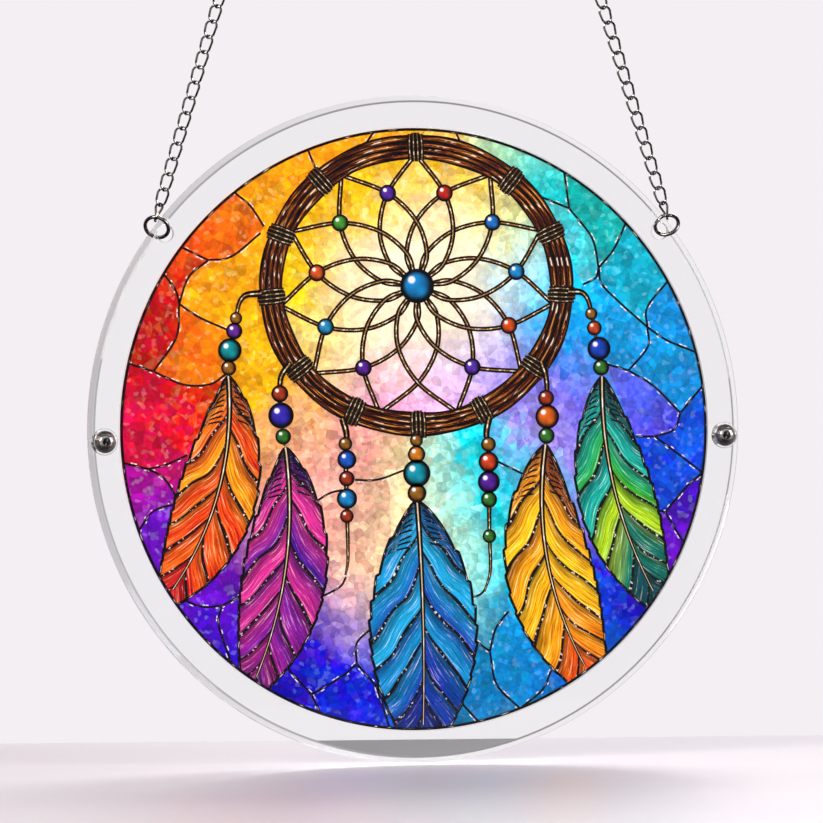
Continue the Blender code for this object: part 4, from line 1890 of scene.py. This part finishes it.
@dataclass
class Studio:
    """The pale floor, the soft lamps and the camera.

    Attributes:
        frame_width: the picture's width in pixels, for which the camera is worked out.
        pixel_size: what one pixel spans at the disc.
        distance: from the camera to the disc's centre.
        yaw: how far the camera stands to the disc's left.
        roll: the camera's own turn.
        disc_pixel: where the disc's centre shows.
        floor_back: how far the floor runs behind the disc.
    """

    frame_width: int = 823
    pixel_size: float = 0.29985 * MM
    distance: float = 2.2
    yaw: float = math.radians(13.0)
    roll: float = math.radians(-0.6)
    disc_pixel: Point = (415.7, 429.1)
    floor_back: float = 0.16
    floor_front: float = 0.4
    floor_side: float = 1.6

    def lamp(self, name: str, place: Sequence[float], size: float, power: float, tint: str) -> None:
        """Adds a square soft lamp that faces the disc.

        Args:
            name: its name.
            place: its place from the disc's centre.
            size: length of its sides.
            power: its power in watts.
            tint: its hex colour.
        """
        light = bpy.data.lights.new(name, "AREA")
        light.size = size
        light.energy = power
        light.color = linear(tint)[:3]
        lamp = link(name, light)
        lamp.location = LAYOUT.centre + Vector(place)
        lamp.rotation_euler = (LAYOUT.centre - lamp.location).to_track_quat("-Z", "Y").to_euler()

    def floor(self) -> None:
        """Adds the floor, level with the disc's foot. It shows near black to glossy rays: a painted dark
        reflection.
        """
        level = CAD_LOW.z - 0.2 * MM
        bm = bmesh.new()
        corners = ((-self.floor_side, -self.floor_front), (self.floor_side, -self.floor_front),
                   (self.floor_side, self.floor_back), (-self.floor_side, self.floor_back))
        square = Matrix.Rotation(-self.yaw, 3, "Z")
        bm.faces.new([bm.verts.new(square @ Vector((x, y, level))) for x, y in corners])
        floor = link("floor", to_mesh("floor", bm, recalculate=False))
        material, tree, shader = new_finish("pale painted board")
        add = partial(add_node, tree)
        coords = add("TexCoord")
        mottle = add("TexNoise", {"Vector": coords.outputs["Object"], "Scale": 6.0})
        colour = add("ValToRGB", (mottle,), ramp=((0.3, "#ebe3e9"), (0.7, "#f0e9ed")))
        ray = add("LightPath")
        # Painted dark reflection: glossy rays see the floor near black instead of its pale colour.
        dark_in_mirror = add("Mix", (ray.outputs["Is Glossy Ray"], colour, linear("#1c1a1b")), data_type="RGBA")
        plug(tree, shader, {"Base Color": dark_in_mirror, "Roughness": 0.38})
        floor.data.materials.append(material)

    def world(self) -> None:
        """Sets a pale backdrop, and a dimmer room for what the gloss reflects."""
        world = bpy.data.worlds.new("studio")
        bpy.context.scene.world = world
        world.use_nodes = True
        tree = world.node_tree
        add = partial(add_node, tree)
        background = tree.nodes["Background"]
        coords = add("TexCoord")
        parts = add("SeparateXYZ", (coords.outputs["Generated"],))
        depth = add("MapRange", (parts.outputs["Y"], -1.0, 1.0))
        room = add("ValToRGB", (depth,), ramp=(
            (0.0, "#b4aeb2"), (0.22, "#a8a2a6"), (0.34, "#3a3739"), (0.55, "#2c2a2b"), (0.7, "#a09a9e"),
            (0.85, "#efe9ee")))
        facing = add("VectorMath", (
            coords.outputs["Generated"], (math.sin(self.yaw), -math.cos(self.yaw), 0)),
            operation="DOT_PRODUCT")
        flag = add("MapRange", (facing, 0.965, 0.985))
        dark_in_mirror = add("Mix", (flag, room, linear("#0b0a0b")), data_type="RGBA")
        level = add("Math", (parts.outputs["Y"],), operation="ABSOLUTE")
        frontal = add("MapRange", (level, 0.5, 0.8))
        backdrop = linear("#f4eff3")
        ahead = add("VectorMath", (
            coords.outputs["Generated"], (math.sin(self.yaw), math.cos(self.yaw), 0)),
            operation="DOT_PRODUCT")
        off_axis = add("MapRange", (ahead, 1.0, 0.8))
        flanked = add("ValToRGB", (off_axis,), ramp=(
            (0.07, "#fffafd"), (0.1, "#9c979b"), (0.3, "#9c979b"), (0.5, "#f4eff3")))
        beyond = add("Mix", (frontal, linear("#4c484b"), flanked), data_type="RGBA")
        ray = add("LightPath")
        bounced = add("Math", (ray.outputs["Diffuse Depth"], ray.outputs["Glossy Depth"]), operation="ADD")
        through = add("Math", (
            ray.outputs["Is Transmission Ray"], bounced), operation="SUBTRACT", use_clamp=True)
        indirect = add("Mix", (through, dark_in_mirror, beyond), data_type="RGBA")
        chosen = add("Mix", (ray.outputs["Is Camera Ray"], indirect, backdrop), data_type="RGBA")
        plug(tree, background, {"Color": chosen, "Strength": 1.0})

    def camera(self) -> None:
        """Adds the camera at the photograph's angle."""
        data = bpy.data.cameras.new("camera")
        focal_pixels = self.distance / self.pixel_size
        data.lens = data.sensor_width * focal_pixels / self.frame_width
        camera = link("camera", data)
        towards = Vector((math.sin(self.yaw), math.cos(self.yaw), 0))
        right = Vector((math.cos(self.yaw), -math.sin(self.yaw), 0))
        middle = self.frame_width / 2
        across, down = self.disc_pixel[0] - middle, self.disc_pixel[1] - middle
        camera.location = (LAYOUT.centre - towards * self.distance - right * across * self.pixel_size
                           + Vector((0, 0, down * self.pixel_size)))
        look = towards.to_track_quat("-Z", "Y").to_matrix()
        camera.rotation_euler = (look @ Matrix.Rotation(self.roll, 3, "Z")).to_euler()
        data.clip_start, data.clip_end = 0.05, 50
        bpy.context.scene.camera = camera

    def build(self) -> None:
        """Builds the whole stage."""
        self.camera()
        self.floor()
        self.world()
        self.lamp("key", (-1.25, -1.15, 0.75), 0.8, 19.0, "#fff8f0")
        self.lamp("fill", (1.35, -0.95, 0.45), 0.9, 15.0, "#f4f6ff")
        self.lamp("back", (0.5, 1.1, 0.9), 0.6, 9.0, "#ffffff")
        bpy.context.scene.view_settings.view_transform = "Standard"


LEAD_RUNS = (
    ((-54, 70), (-50, 67), (-46, 61)), ((-70, 54), (-63, 51)), ((-63, 51), (-56, 52), (-47, 59)),
    ((-63, 51), (-69, 46), (-72, 38)), ((-72, 38), (-66, 34), (-57, 30)), ((-75, 46), (-73, 42), (-72, 38)),
    ((-72, 38), (-73, 28), (-80, 18)), ((-86, 20), (-80, 18)), ((-80, 18), (-71, 14), (-63, 14), (-58, 17)),
    ((-88, -9), (-82, -11)), ((-82, -11), (-77, -10), (-70, -7)), ((-82, -11), (-77, -14), (-72, -22)),
    ((-84, -29), (-81, -24), (-76, -22), (-72, -22)), ((-76, -47), (-67, -52), (-60, -52)),
    ((-60, -52), (-54, -49)), ((-60, -52), (-61, -58), (-56, -68)), ((-41, -70), (-33, -79)),
    ((-33, -79), (-30, -84)), ((-33, -79), (-24, -74), (-19, -70)), ((-19, -70), (-19, -64), (-15, -60)),
    ((-19, -70), (-13, -77)), ((15, -62), (22, -67)), ((28, -55), (24, -60), (22, -67)),
    ((22, -67), (24, -77), (31, -84)), ((41, -73), (38, -79), (31, -84)), ((10, -79), (18, -87)),
    ((38, 70), (48, 66)), ((46, 76), (48, 66)), ((48, 66), (55, 57), (57, 48)),
    ((65, 61), (62, 54), (57, 48)), ((57, 48), (56, 45), (52, 43)), ((57, 48), (58, 43), (64, 37), (72, 30)),
    ((77, 43), (72, 36), (72, 30)), ((72, 30), (78, 26), (86, 22)), ((72, 30), (72, 24), (66, 17)),
    ((59, 19), (66, 17)), ((66, 17), (74, 12), (82, 4)), ((82, 4), (88, 12)), ((82, 4), (80, -1), (74, -3)),
    ((74, -3), (68, -3)), ((74, -3), (82, -9), (88, -14)), ((88, -14), (83, -19), (77, -26)),
    ((77, -26), (71, -24)), ((77, -26), (82, -35)), ((-32, 83), (-30, 78)), ((-12, 88), (-15, 85)),
    ((13, 88), (15, 85)), ((-22, -44), (-24, -47), (-30, -50)), ((-19, -15), (-12, -15), (-3, -12)),
    ((21, -48), (19, -50), (15, -51)), ((25, -10), (33, -14)), ((-32, -22), (-27, -19), (-23, -18)),
    ((-13, -77), (-9, -88)), ((-41, -70), (-46, -77)),
)
PANES = (
    ("#dc3c08", (2, 3, -1)), ("#f8a60a", (4, 5, -3)), ("#c82804", (6, -4, -2)), ("#b41804", (8, -7, -6)),
    ("#ee7012", (7, 9, -5)), ("#c8103c", (8, 9, -11, -10)), ("#b01a6c", (11, -12)),
    ("#86189c", (10, 12, -13)), ("#6420bc", (13, -14)), ("#4a1cbc", (14, 16)),
    ("#1618c4", (-18, 19, 21, 53)), ("#2a18c0", (17, 18, -54)), ("#0470ac", (22, 24, -26)),
    ("#0c8cd8", (23, 24, -25)),
    ("#08a496", (28, 29, -30)), ("#74d2d6", (27, 29, 31)), ("#069cb0", (30, 32, -33)), ("#1a7ec8", (33, 34)),
    ("#1a98d8", (32, 35, -36)), ("#0c94d6", (-34, 35, 37, 38)), ("#7a68de", (36, 37, 39, 40)),
    ("#0c40c8", (-38, 39, 41)), ("#0c48d4", (-40, 41, 42, 43)), ("#601abc", (42, 44)),
)

FEATHERS = (
    Feather("orange_feather", (-57.3, 16.4), (-79.5, -53.0), 24.5, 0.2,
            ("#a84a14", "#f08410", "#d8400c", "#f8a010", "#e8440c", "#f06810", "#d0240c", "#c01818"),
            (3.4, 2.6)),
    Feather("pink_feather", (-40.1, -5.1), (-53.0, -80.5), 26.0, 0.15,
            ("#340a60", "#981a7c", "#dc3090", "#441090", "#c42888", "#801698", "#a81c80", "#501070"),
            (3.4, 2.6), layer=1),
    Feather("blue_feather", (0.0, -21.4), (0.8, -99.0), 33.6, 0.03,
            ("#084a88", "#0e84bc", "#18a4d8", "#0a44a8", "#0e8cc8", "#0a36a0", "#08268c", "#081a6c"),
            (3.0, 3.0)),
    Feather("amber_feather", (39.9, -5.1), (58.0, -82.5), 27.5, -0.2,
            ("#8c4410", "#cc780e", "#f4a80a", "#fcc81a", "#f8b008", "#f0900c", "#dc600c", "#d4300a"),
            (2.6, 3.6), layer=1),
    Feather("green_feather", (57.7, 15.2), (77.5, -57.5), 24.0, -0.15,
            ("#0a4c50", "#0c7e7c", "#12a89c", "#2aa02c", "#b4d614", "#0c7460", "#0a5058", "#083c4c"),
            (2.6, 3.4)),
)

RED_BROWN, SKY, GREEN_BRONZE, BRONZE = "#a83a18", "#1a8ad0", "#3a7a2c", "#9a6420"
BEADED_STRINGS = (
    Pendant(((-47.0, 41.0), (-52.5, 40.0), (-54.8, 34.0), (-56.5, 20.0)), (
        ((-54.8, 33.6), 1.9, BRONZE), ((-55.4, 29.8), 2.5, "#6a2a98"), ((-56.8, 24.1), 3.6, "#0e929c"),
        ((-57.2, 18.8), 2.3, BRONZE))),
    Pendant(((-38.5, 20.0), (-41.5, 15.0), (-41.4, 4.0), (-40.4, -4.6)), (
        ((-41.7, 11.0), 2.6, RED_BROWN), ((-41.4, 4.5), 3.9, "#3a2ab4"),
        ((-40.8, -1.8), 2.4, GREEN_BRONZE))),
    Pendant(((-22.6, 3.4), (-21.4, -1.6), (-21.8, -8.0), (-21.5, -26.0), (-21.4, -38.5), (-22.2, -43.5)), (
        ((-21.8, -4.2), 2.1, BRONZE), ((-21.4, -8.9), 2.9, "#1a5ac8"), ((-21.5, -14.6), 2.4, RED_BROWN),
        ((-21.5, -20.6), 3.1, SKY), ((-21.6, -25.8), 2.1, RED_BROWN))),
    Pendant(((0.0, -1.4), (0.0, -10.0), (0.0, -22.0)), (
        ((0.0, -3.4), 2.0, BRONZE), ((0.0, -7.6), 2.7, "#d8801e"), ((0.0, -13.3), 4.2, "#0e98ae"),
        ((0.0, -19.2), 2.9, BRONZE))),
    Pendant(((22.6, 3.4), (21.6, -1.6), (22.3, -8.0), (22.2, -30.0), (22.4, -42.5), (20.5, -49.0)), (
        ((22.2, -4.8), 2.3, BRONZE), ((22.2, -10.1), 3.1, "#d8441a"), ((22.2, -16.1), 3.4, "#5a1f9c"),
        ((22.2, -21.4), 2.5, GREEN_BRONZE), ((22.2, -32.4), 2.1, GREEN_BRONZE))),
    Pendant(((38.8, 20.0), (40.4, 14.0), (40.3, 4.0), (40.0, -4.6)), (
        ((40.2, 8.9), 2.5, RED_BROWN), ((40.5, 3.3), 3.7, "#e2661a"), ((40.2, -2.4), 2.5, GREEN_BRONZE))),
    Pendant(((47.5, 41.0), (52.5, 40.0), (54.9, 33.0), (57.0, 18.0)), (
        ((54.5, 34.2), 1.9, BRONZE), ((55.4, 29.9), 2.3, "#c84a1c"), ((56.8, 23.7), 3.6, "#1a44b8"),
        ((57.4, 18.0), 2.5, GREEN_BRONZE))),
)


def main() -> None:
    """Builds every class in order, from the stage to the chain."""
    logging.basicConfig(level=logging.INFO, format="%(name)s: %(message)s")
    Studio().build()
    clear, steel = ClearAcrylic().material(), NickelPlate().material()
    # Painted light: the screws, nuts and cup washers get a brighter copy of the chain's plated-steel finish.
    brightened = NickelPlate("stainless steel, polished", "#e8e5e1", "#c2beb9").material()

    PrintedDisc().build()
    Leads(LEAD_RUNS, PANES).build()
    hoop = Hoop()
    hoop.build()
    Web(hoop).build()
    for feather in FEATHERS:
        feather.build()
    Pendants(BEADED_STRINGS).build()

    fastener = Fastener()
    rings = [SideRing(side) for side in Side]
    ClearSheets().build(fastener, rings, clear)
    fastener.build(brightened, clear)
    for ring in rings:
        ring.build(steel)
    top = HangingRing()
    top.build(steel)
    Chain().build(rings, top, steel)


if __name__ == "__main__":
    main()
